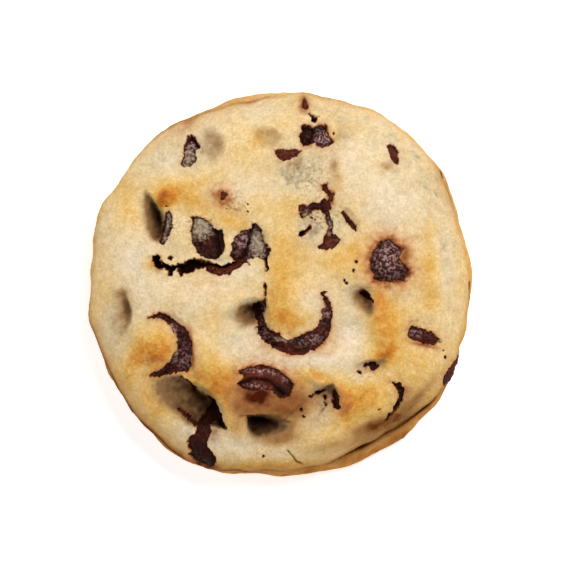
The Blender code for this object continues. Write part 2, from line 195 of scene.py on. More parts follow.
# Where the crease over the foot is painted dark, for its browning and the shade in it, and where the rim is
# browned and painted with the shade of the light's fall-off at the edge: angle, half width, share.
CREASED = ((306, 26, 1.15), (100, 8, 0.3))
RIM_BROWNED_AND_SHADED = (
    (232, 34, 0.75), (285, 28, 0.18), (325, 16, 0.3), (122, 10, 0.35), (195, 16, 0.1), (105, 12, 0.2),
    (75, 12, 0.15), (30, 9, 0.25), (165, 12, 0.1),
)
# Where fine pleats run along the edge: angle, half width, share.
PLEATED = ((38, 26, 1.0), (75, 12, 0.4), (215, 20, 0.4))
PLEAT_WIDTH, PLEAT_START, PLEAT_HEIGHT = 1.1, 23, 0.13
# Gentle waves all over the top: height, length, seed.
SWELLS = ((0.35, 13, 3), (0.14, 4.5, 8))

# Bumps: x, y, half length, half width, turn in degrees, height.
HILLS = (
    (-17.3, 17.1, 10.5, 4.3, 5, 1.3),
    (0.9, 5.0, 14.1, 5.4, 86, 1.5),
    (2.7, -4.1, 6.5, 5.9, 0, 1.6),
    (18.6, -8.1, 8.6, 3.6, 107, 1.4),
    (14.6, -20.7, 7.2, 5.4, -15, 1.3),
    (-22.7, -11.2, 5.6, 5.6, 0, 2.0),
    (-12.4, -15.3, 8.6, 4.3, -58, 1.7),
    (-8.1, -25.0, 6.1, 2.7, -74, 1.3),
    (-0.9, -21.1, 6.1, 4.7, -20, 1.1),
    (-29.4, 8.6, 9.4, 4.0, 80, 0.7),
    (-20.9, 15.0, 3.2, 2.5, 0, 0.6),
    (-17.3, 8.1, 3.6, 2.9, 0, 0.6),
    (-15.5, -2.7, 10.5, 4.7, -5, 0.9),
    (-7.7, 24.0, 8.3, 7.2, 0, 0.7),
    (-5.6, 14.1, 5.0, 2.9, 10, 0.6),
    (16.0, 16.8, 9.0, 7.9, 120, 0.9),
    (11.0, 2.7, 5.8, 4.7, 0, 0.7),
    (19.6, 3.8, 7.9, 7.9, 0, 0.9),
    (27.2, 2.0, 8.6, 2.5, 90, 0.6),
    (25.9, -15.0, 5.8, 4.7, 20, 0.7),
    (-23.6, -21.4, 6.1, 4.0, -55, 0.5),
    (-3.4, -31.4, 7.9, 2.5, 0, 0.5),
    (11.5, -27.6, 11.9, 2.9, 14, 0.8),
    (6.7, -17.8, 4.7, 1.4, -30, 0.9),
    (11.5, -21.4, 4.3, 1.6, -75, 0.7),
    (0.7, 29.0, 3.2, 2.5, 0, 0.4),
    (12.4, 27.9, 2.9, 2.2, 0, 0.4),
)
# Hollows: x, y, half length, half width, turn, depth, lean (0 even, towards 1 one steep wall), and the way of
# the steep wall in degrees.
HOLLOWS = (
    (-23.4, 11.5, 5.4, 2.7, -74, 2.4, 0.6, 20),
    (-20.7, 9.7, 3.1, 1.3, 80, 1.3, 0.3, 0),
    (-13.2, 7.6, 4.9, 3.6, 85, 1.7, 0.3, -60),
    (-5.8, 7.0, 4.3, 3.8, 20, 1.5, 0.3, 30),
    (4.0, 20.0, 6.5, 4.7, 100, 1.3, 0.3, 0),
    (7.0, 10.3, 5.8, 4.7, 80, 1.1, 0.1, 0),
    (-6.5, -5.9, 4.9, 3.1, 25, 2.3, 0.6, 30),
    (13.2, -3.2, 4.3, 3.1, 20, 1.9, 0.6, 30),
    (11.4, -9.9, 5.4, 4.3, 60, 1.2, 0.2, 0),
    (16.2, -15.5, 3.1, 1.8, 5, 1.5, 0.6, 80),
    (7.6, -21.3, 4.0, 3.2, 40, 1.9, 0.5, 60),
    (-2.7, -26.1, 5.0, 2.7, -5, 2.6, 0.6, 100),
    (-15.1, -22.9, 6.8, 4.3, -42, 3.2, 0.6, 40),
    (-29.9, -5.9, 4.5, 2.5, 80, 1.4, 0.6, 15),
    (29.7, 2.7, 9.0, 1.4, 92, 0.5, 0.0, 0),
    (-3.1, 26.3, 2.7, 1.6, 0, 0.7, 0.3, 90),
    (-12.8, 24.0, 2.7, 2.5, 90, 0.5, 0.0, 0),
    (19.3, 20.7, 1.8, 1.4, 0, 0.4, 0.0, 0),
)
# Hollows with one steep wall: depth, width of the wall, way of the wall in degrees, strength of the shade,
# how fast it fades away from the wall, and the outline.
FOLDS = (
    # thumb-like hollow at the left
    (1.9, 0.5, 10, 1.15, 1.0, ((-24.5, 16.8), (-23.5, 15.7), (-22.5, 14.3), (-21.8, 12.8), (-21.4, 11.2),
        (-21.3, 9.6), (-21.3, 8.1), (-22.3, 7.2), (-23.6, 7.6), (-25, 9.4), (-25.6, 11.7), (-25.6, 14.4))),
    # hollow left of the middle
    (1.7, 1.1, 50, 1.45, 0.85, ((-8.8, -5.4), (-7.4, -4.1), (-6.1, -3.7), (-4.7, -3.6), (-3.4, -3.2),
        (-2.5, -2.7), (-2.5, -4.1), (-3.1, -6.3), (-4.5, -7.9), (-6.5, -8.6), (-8.5, -8.1), (-9.2, -6.8))),
    # overhang at the lower left
    (2.3, 0.45, 15, 1.0, 0.58, ((-23.6, -17.5), (-20.9, -16.4), (-18, -16.9), (-16.4, -18.2),
        (-14.8, -19.3), (-13.3, -20.4), (-12.1, -21.6), (-11.2, -23.1), (-10.5, -24.7), (-9.6, -26.7),
        (-11.4, -26.1), (-12.8, -25.8), (-15, -26.2), (-16.8, -25.8), (-18.6, -24.6), (-20.4, -23.3),
        (-22.6, -21.8), (-23.8, -19.8))),
    # lower dimple
    (1.4, 0.6, 62, 0.55, 1.3, ((5, -20.7), (6.1, -19.8), (7.2, -19.1), (8.3, -18.4), (9.4, -18.2),
        (10.3, -19.1), (10.6, -20.7), (11, -22.7), (10.1, -23.4), (8.5, -24.1), (6.7, -24), (5.4, -22.9),
        (4.7, -21.8))),
    # hollow right of the middle
    (1.3, 0.6, 35, 1.05, 1.3, ((13, -1.6), (14.6, -1), (15.5, -1.4), (16.2, -2.3), (16.8, -3.8),
        (16.8, -5.6), (15.9, -6.5), (14.2, -5.8), (12.4, -4.5), (12, -2.9))),
    # dimple at the right
    (1.0, 0.6, 85, 0.6, 1.3, ((12.8, -15.5), (13.5, -15), (15, -14.5), (16.4, -14.1), (17.7, -13.9),
        (18.9, -13.2), (19.3, -14.4), (18.2, -15.9), (16.8, -16.9), (15, -17.1), (13.3, -16.8))),
    # far left dimple
    (1.1, 0.7, 5, 0.35, 1.3, ((-28.8, -0.7), (-27.8, -1.8), (-27.2, -3.6), (-26.8, -5.2), (-27, -7.2),
        (-27.8, -9.2), (-29, -10.8), (-30.5, -9.7), (-31.4, -7), (-31.2, -4.1), (-30.3, -1.8))),
    # dark hollow at the bottom
    (2.6, 0.4, 108, 1.7, 0.85, ((-6.1, -24.3), (-4.5, -24.2), (-2.7, -24.4), (-0.9, -24.9), (0.9, -25.4),
        (2.2, -26.1), (1.9, -27.2), (0.4, -28.3), (-1.6, -28.9), (-3.4, -28.8), (-4.9, -28.2),
        (-5.8, -27.0), (-6.1, -25.7))),
    # shallow at the top
    (0.7, 1.6, 60, 0.3, 1.0, ((-5.2, 27.4), (-3.1, 28.3), (-1.3, 27.9), (0.4, 26.8), (0.4, 24.7),
        (-2, 23.2), (-3.8, 23.4), (-5.4, 25.4))),
    # beside the broken ring
    (0.5, 0.9, 40, 0.3, 1.3, ((10.6, 13.5), (11.7, 13.9), (13.2, 12.6), (14.4, 10.6), (14.6, 9),
        (13.2, 8.3), (11.9, 9.9), (11, 11.5))),
    # beside the grey chip
    (0.4, 1.8, 20, 0.4, 0.5, ((-14.2, 27.9), (-12.1, 28.3), (-10.3, 26.5), (-9.9, 24), (-11.5, 21.8),
        (-13.7, 21.6), (-15.1, 23.2), (-15.1, 25.9))),
    # left end of the long crack
    (0.7, 0.6, -20, 0.5, 1.3, ((-24.3, 4.3), (-23.6, 4.9), (-22.5, 5.4), (-21.6, 4.9), (-21.3, 3.6),
        (-21.4, 2.2), (-22.5, 2), (-23.6, 2.7))),
    # left sliver's fold
    (0.4, 0.7, 160, 0.1, 1.3, ((-21.8, 12.8), (-20.7, 13.3), (-19.6, 12.8), (-19.6, 10.6), (-20.2, 8.5),
        (-21.3, 6.7), (-22, 7.2), (-21.6, 9.2), (-21.3, 11))),
)
# Curved grooves where the dough has pulled back from a chip: x, y, radius, from, to, half width, depth.
CRESCENTS = (
    (2.7, -6.8, 5.6, 150, 410, 1.5, 1.0),
    (-22.3, -11.2, 5.1, -98, 98, 1.6, 0.9),
    (17.1, -21.4, 4.8, -72, 50, 1.0, 0.8),
)
# Thin cracks: half width, depth, and the places they run through.
CRACKS = (
    (0.3, 0.9, ((-2.9, -0.2), (-2.8, -1.4), (-2.9, -2.4))),
    (0.22, 0.7, ((1.3, -30.5), (2.2, -31.5), (2.9, -32.6), (4.0, -33.0))),
    (0.35, 1.0, ((-18.0, -17.3), (-17.3, -17.8), (-16.6, -18.2), (-15.9, -18.8), (-14.8, -20.0))),
    (0.2, 0.3, ((5.0, -14.8), (5.4, -16.0), (7.0, -17.1))),
    (0.25, 0.6, ((7.9, -20.4), (8.3, -21.8), (7.2, -23.4))),
    (0.3, 0.5, ((-9.9, 13.9), (-8.6, 13.3), (-7.7, 13.0))),
    (0.25, 0.7, ((-6.3, 5.0), (-6.2, 4.1), (-5.6, 3.2))),
    (0.3, 0.6, ((28.1, -9.9), (29.2, -11.0))),
    (0.25, 0.5, ((-7.2, -24.1), (-4.5, -24.2), (-2.0, -24.6), (0.4, -25.2), (1.8, -25.4))),
    (0.2, 0.4, ((3.4, -22.2), (2.2, -23.6), (0.7, -25.0))),
)

# %% The chips in the side
# Chips that show in the side: name, angle, height of the middle, half length along the rim, half height, how
# deep the chip lies at its edge, rise to its middle.
SIDE_OPENINGS = (
    ("chip_rim_right", -27.3, 6.8, 3.6, 2.15, 0.2, 0.3),
    ("chip_rim_middle", -4.0, 3.4, 2.4, 1.2, 0.25, 0.25),
    ("chip_rim_upper", 34.0, 6.4, 1.3, 1.4, 0.25, 0.25),
)

# %% Measuring on ovals, lines and waves
def around(theta, table):
    """Sum of smooth bumps placed by angle."""
    total = np.zeros_like(theta)
    for angle, half, size in table:
        off = (theta - math.radians(angle) + math.pi) % (2 * math.pi) - math.pi
        total += size * np.exp(-((np.degrees(off) / half) ** 2))
    return total


def outer_radius(theta):
    """Reach of the foot at an angle."""
    rough = OUTLINE_ROUGH * waves(RADIUS * np.cos(theta), RADIUS * np.sin(theta), 7, 12)
    return RADIUS + around(theta, OUTLINE) + rough


def dome_radius(theta):
    """Reach of the dome over the foot."""
    return outer_radius(theta) - around(theta, LIPS) - DOME_INSET


def pleats(x, y):
    """Fine pleats along the edge, five times as long as they are wide."""
    angle, radius = np.arctan2(y, x), np.hypot(x, y)
    fine = waves(angle * RADIUS / 5, radius, PLEAT_WIDTH, 60)
    return fine * around(angle, PLEATED) * smooth((radius - PLEAT_START) / 5)


def turned(x, y, place_x, place_y, half_long, half_wide, turn):
    """Coordinates on a turned oval, of length 1 on its edge."""
    cos, sin = math.cos(math.radians(turn)), math.sin(math.radians(turn))
    along = ((x - place_x) * cos + (y - place_y) * sin) / half_long
    across = (-(x - place_x) * sin + (y - place_y) * cos) / half_wide
    return along, across


def bowl(d):
    """1 in the middle of a soft bump, 0 from a distance of 1."""
    return np.clip(1 - d * d, 0, None) ** 2


def leaning(u, v, lean, way, turn):
    """Distance on an oval whose deepest place has slid towards one wall."""
    ex = lean * math.cos(math.radians(way - turn))
    ey = lean * math.sin(math.radians(way - turn))
    dot = (u - ex) * ex + (v - ey) * ey
    gap = (u - ex) ** 2 + (v - ey) ** 2
    rest = 1 - lean * lean
    return (dot + np.sqrt(dot * dot + rest * gap)) / rest


def to_path(x, y, path):
    """Distance to a line through several places."""
    best = np.full_like(x, 1e9)
    for (ax, ay), (bx, by) in zip(path[:-1], path[1:]):
        dx, dy = bx - ax, by - ay
        share = np.clip(((x - ax) * dx + (y - ay) * dy) / (dx * dx + dy * dy), 0, 1)
        best = np.minimum(best, np.hypot(x - ax - share * dx, y - ay - share * dy))
    return best


def smooth(value):
    """0 to 1 with soft ends."""
    value = np.clip(value, 0, 1)
    return value * value * (3 - 2 * value)


def inside_distance(x, y, outline):
    """Distance in from an outline, less than nothing outside it."""
    loop = outline + outline[:1]
    inside = np.zeros(len(x), bool)
    for (ax, ay), (bx, by) in zip(loop[:-1], loop[1:]):
        if ay != by:
            inside ^= ((ay > y) != (by > y)) & (x < (bx - ax) * (y - ay) / (by - ay) + ax)
    distance = to_path(x, y, loop)
    return np.where(inside, distance, -distance)


def waves(x, y, length, seed):
    """Soft irregular waves between about -1 and 1."""
    chance = np.random.default_rng(seed)
    total = np.zeros_like(x)
    for _ in range(14):
        way, phase = chance.uniform(0, 2 * math.pi, 2)
        step = 2 * math.pi / (length * chance.uniform(0.7, 1.6))
        total += np.sin((x * math.cos(way) + y * math.sin(way)) * step + phase)
    return total / 5

# %% Bumps, hollows, folds and cracks
# A fold's wall is steep, and its other side softer by this width. Small waves make its edge uneven.
SOFT_SIDE = 2.8
FOLD_ROUGH = 0.06
FOLD_REACH = 1
CRACK_ROUGH = 0.35


def folds(x, y):
    """Depth of the hollows with one steep wall, and their shade."""
    low, shade = np.zeros_like(x), np.zeros_like(x)
    for depth, wall, way, strength, spread, outline in FOLDS:
        corners = np.array(outline)
        (low_x, low_y), (high_x, high_y) = corners.min(axis=0), corners.max(axis=0)
        near = (x > low_x - FOLD_REACH) & (x < high_x + FOLD_REACH)
        near &= (y > low_y - FOLD_REACH) & (y < high_y + FOLD_REACH)
        cos, sin = math.cos(math.radians(way)), math.sin(math.radians(way))
        ends = corners @ (cos, sin)
        u, v = x[near], y[near]
        along = np.clip((u * cos + v * sin - ends.min()) / np.ptp(ends), 0, 1)
        d = inside_distance(u, v, outline) + FOLD_ROUGH * waves(u, v, 1.2, 55)
        d /= wall + SOFT_SIDE * (1 - along)
        low[near] = np.maximum(low[near], depth * smooth(d + 0.1) * smooth(along * 1.15))
        shade[near] = np.maximum(shade[near], strength * smooth(1.2 * d + 0.35) * along ** spread)
    return low, shade


def landscape(x, y):
    """Bumps, hollows and the curved grooves over the plain dome."""
    high = sum(height * waves(x, y, length, seed) for height, length, seed in SWELLS)
    high += PLEAT_HEIGHT * pleats(x, y)
    for place_x, place_y, half_long, half_wide, turn, height in HILLS:
        u, v = turned(x, y, place_x, place_y, half_long, half_wide, turn)
        high += height * bowl(np.hypot(u, v))
    for place_x, place_y, half_long, half_wide, turn, depth, lean, way in HOLLOWS:
        u, v = turned(x, y, place_x, place_y, half_long, half_wide, turn)
        high -= depth * bowl(leaning(u, v, lean, way, turn))
    for place_x, place_y, radius, start, end, half, depth in CRESCENTS:
        angle = np.degrees(np.arctan2(y - place_y, x - place_x))
        off = (angle - (start + end) / 2 + 180) % 360 - 180
        taper = np.sqrt(np.clip(1 - (off / ((end - start) / 2)) ** 2, 0, 1))
        off_ring = np.abs(np.hypot(x - place_x, y - place_y) - radius)
        share = np.clip(1 - (off_ring / (half * np.maximum(taper, 0.05))) ** 2, 0, 1)
        high -= depth * share * taper
    return high - folds(x, y)[0]


def cracks(x, y):
    """Depth of the thin cracks."""
    low = np.zeros_like(x)
    rough = 1 + CRACK_ROUGH * waves(x, y, 1.6, 21)
    for half, depth, path in CRACKS:
        share = np.clip(1 - to_path(x, y, path) / (1.15 * half * rough), 0, 1)
        low += depth * share ** 0.7
    return low

# %% The section of the dome
def dome_point(q, theta):
    """Radius and height of the plain dome at a share q of its radius."""
    share = np.clip(1 - q ** ROUNDNESS, 1e-4, 1)
    return dome_radius(theta) * q, SHOULDER_HEIGHT + (DOME_HEIGHT - SHOULDER_HEIGHT) * np.sqrt(share)


def bezier(points, t):
    """Point of a curve with two ends and two handles."""
    a, b, c, d = points
    return (1 - t) ** 3 * a + 3 * (1 - t) ** 2 * t * b + 3 * (1 - t) * t * t * c + t ** 3 * d


def profile(s, theta):
    """The plain section: s to 1 over the dome, to 2 down to the crease, to 3 out to the foot, to 4 in."""
    radius, height = dome_point(np.sin(np.clip(s, 0, 1) * math.pi / 2) ** (2 / ROUNDNESS), theta)
    height = np.where(s >= 1, SHOULDER_HEIGHT, height)
    inner, outer = dome_radius(theta), outer_radius(theta)
    crease = inner - CREASE_INSET - 0.17 * around(theta, LIPS)
    foot = outer - crease
    # Three curves follow one another: the radii of their ends and handles, then the heights.
    curves = (
        ((inner, inner, crease + 0.35, crease),
         (SHOULDER_HEIGHT, SHOULDER_HEIGHT - 1.2, CREASE_HEIGHT + 0.6, CREASE_HEIGHT)),
        ((crease, crease + 0.5 * foot, outer, outer),
         (CREASE_HEIGHT, CREASE_HEIGHT - 0.3, FOOT_HEIGHT + 1.2, FOOT_HEIGHT)),
        ((outer, outer, outer - 0.5 * BASE_TUCK, outer - BASE_TUCK),
         (FOOT_HEIGHT, FOOT_HEIGHT - 0.9, 0.1, 0.0)),
    )
    for number, (radii, heights) in enumerate(curves, 1):
        t = np.clip(s - number, 0, 1)
        radius = np.where(s > number, bezier(radii, t), radius)
        height = np.where(s > number, bezier(heights, t), height)
    return radius, height

# %% [markdown]
# ## The dough's skin
# A photograph of baked dough shows detail down to a quarter of a millimetre. A hexagon is cut by Subdivide
# into an even net of triangles, ring inside ring, and its rings are then laid over the dome, down the side
# and under the foot. Vertices are moved by the shape functions above, because no single operator could place
# that many ridges, hollows and cracks.

# %% Lay a net of triangles over the dome
FIRST_CUTS, SECOND_CUTS = 15, 10
RINGS = (FIRST_CUTS + 1) * (SECOND_CUTS + 1)
# Share of the rings on the side and the foot, and the angle whose section sets their spacing.
SIDE_SHARE = 0.15
MEASURED_AT = 150


def ring_steps(rings):
    """Value of s for each ring: even lengths over the top, somewhat wider steps down the side."""
    s = np.linspace(0, 4, 4001)
    radius, height = profile(s, np.full_like(s, math.radians(MEASURED_AT)))
    length = np.concatenate([[0], np.cumsum(np.hypot(np.diff(radius), np.diff(height)))])
    edge = np.interp(1.0, s, length)
    share = np.linspace(0, 1, rings + 1)
    top = share / (1 - SIDE_SHARE) * edge
    side = edge + (share - 1 + SIDE_SHARE) / SIDE_SHARE * (length[-1] - edge)
    return np.interp(np.where(share < 1 - SIDE_SHARE, top, side), length, s)


def hexagon_places(flat, rings):
    """Ring number and angle of each point of a flat hexagon net of unit radius."""
    corner = flat[np.argmax(np.hypot(flat[:, 0], flat[:, 1]))]
    start = math.atan2(corner[1], corner[0])
    angle = (np.arctan2(flat[:, 1], flat[:, 0]) - start) % (2 * math.pi)
    side = np.floor(angle / (math.pi / 3) + 1e-4) % 6
    within = start + side * math.pi / 3
    along = flat[:, 0] * np.cos(within) + flat[:, 1] * np.sin(within)
    across = -flat[:, 0] * np.sin(within) + flat[:, 1] * np.cos(within)
    step = across / math.sin(math.pi / 3)
    ring = np.rint((along + 0.5 * step) * rings)
    place = np.rint(step * rings)
    return ring.astype(int), start + (side + place / np.maximum(ring, 1)) * math.pi / 3


bpy.ops.object.select_all(action="DESELECT")
bpy.ops.mesh.primitive_circle_add(vertices=6, radius=1, fill_type="TRIFAN")
crust = bpy.context.object
crust.name = "crust"
bpy.ops.object.mode_set(mode="EDIT")
bpy.ops.mesh.select_all(action="SELECT")
bpy.ops.mesh.subdivide(number_cuts=FIRST_CUTS)
bpy.ops.mesh.subdivide(number_cuts=SECOND_CUTS)
bpy.ops.object.mode_set(mode="OBJECT")
flat = np.empty(len(crust.data.vertices) * 3)
crust.data.vertices.foreach_get("co", flat)
ring, theta = hexagon_places(flat.reshape(-1, 3)[:, :2], RINGS)
print("net:", RINGS, "rings,", len(crust.data.vertices), "points,", len(crust.data.polygons), "triangles")

# %% Shape the net into the dough
# How much of the top's landscape is left on the side, the side's own waves, and the step for its normals.
SIDE_FADE = 0.12
SIDE_WAVES = 0.22
NORMAL_STEP = 1e-3


def dough_points(s, theta):
    """Points of the dough with its bumps and hollows, before anything is cut into it."""
    radius, height = profile(s, theta)
    before = profile(np.maximum(s - NORMAL_STEP, 0), theta)
    after = profile(np.minimum(s + NORMAL_STEP, 4), theta)
    out, up = -(after[1] - before[1]), after[0] - before[0]
    length = np.hypot(out, up)
    out, up = out / length, up / length
    x, y = radius * np.cos(theta), radius * np.sin(theta)
    high = landscape(x, y)
    fade = smooth(2.0 - s)
    foot = np.clip((4 - s) * 2, 0, 1)
    side = SIDE_WAVES * waves(theta * 34, height * 1.5, 6, 40) * np.clip(s - 0.8, 0, 1)
    lift = (high * (SIDE_FADE + (1 - SIDE_FADE) * fade) + side) * foot
    places = [x + lift * out * np.cos(theta), y + lift * out * np.sin(theta), height + lift * up]
    return np.stack(places, axis=1)


def set_points(obj, points):
    """Moves an object's vertices to places given in the tables' own frame, in millimetres."""
    obj.data.vertices.foreach_set("co", ((points + shift) * MM).ravel())
    obj.data.update()


def local_points(obj):
    """Vertex places in millimetres, in the object's own frame."""
    values = np.empty(len(obj.data.vertices) * 3)
    obj.data.vertices.foreach_get("co", values)
    return values.reshape(-1, 3) / MM


def get_points(obj):
    """Vertex places in millimetres, in the tables' own frame."""
    return local_points(obj) - shift


def get_normals(obj):
    """Normals of the vertices."""
    values = np.empty(len(obj.data.vertices) * 3)
    obj.data.vertex_normals.foreach_get("vector", values)
    return values.reshape(-1, 3)


s = ring_steps(RINGS)[ring]
skin = dough_points(s, theta)
raw_low, raw_high = skin.min(axis=0), skin.max(axis=0)
box_low, box_high = (np.array(corner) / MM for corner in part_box("dough"))
shift = np.array([*((box_low + box_high - raw_low - raw_high) / 2)[:2], 0.0])
set_points(crust, skin)
normals = get_normals(crust)
if normals[0, 2] < 0:
    crust.data.flip_normals()
    normals = -normals
bare_skin = bpy.data.objects.new("bare_skin", crust.data.copy())
bpy.context.scene.collection.objects.link(bare_skin)
print("dough box in mm:", np.round(raw_low + shift, 2), np.round(raw_high + shift, 2))
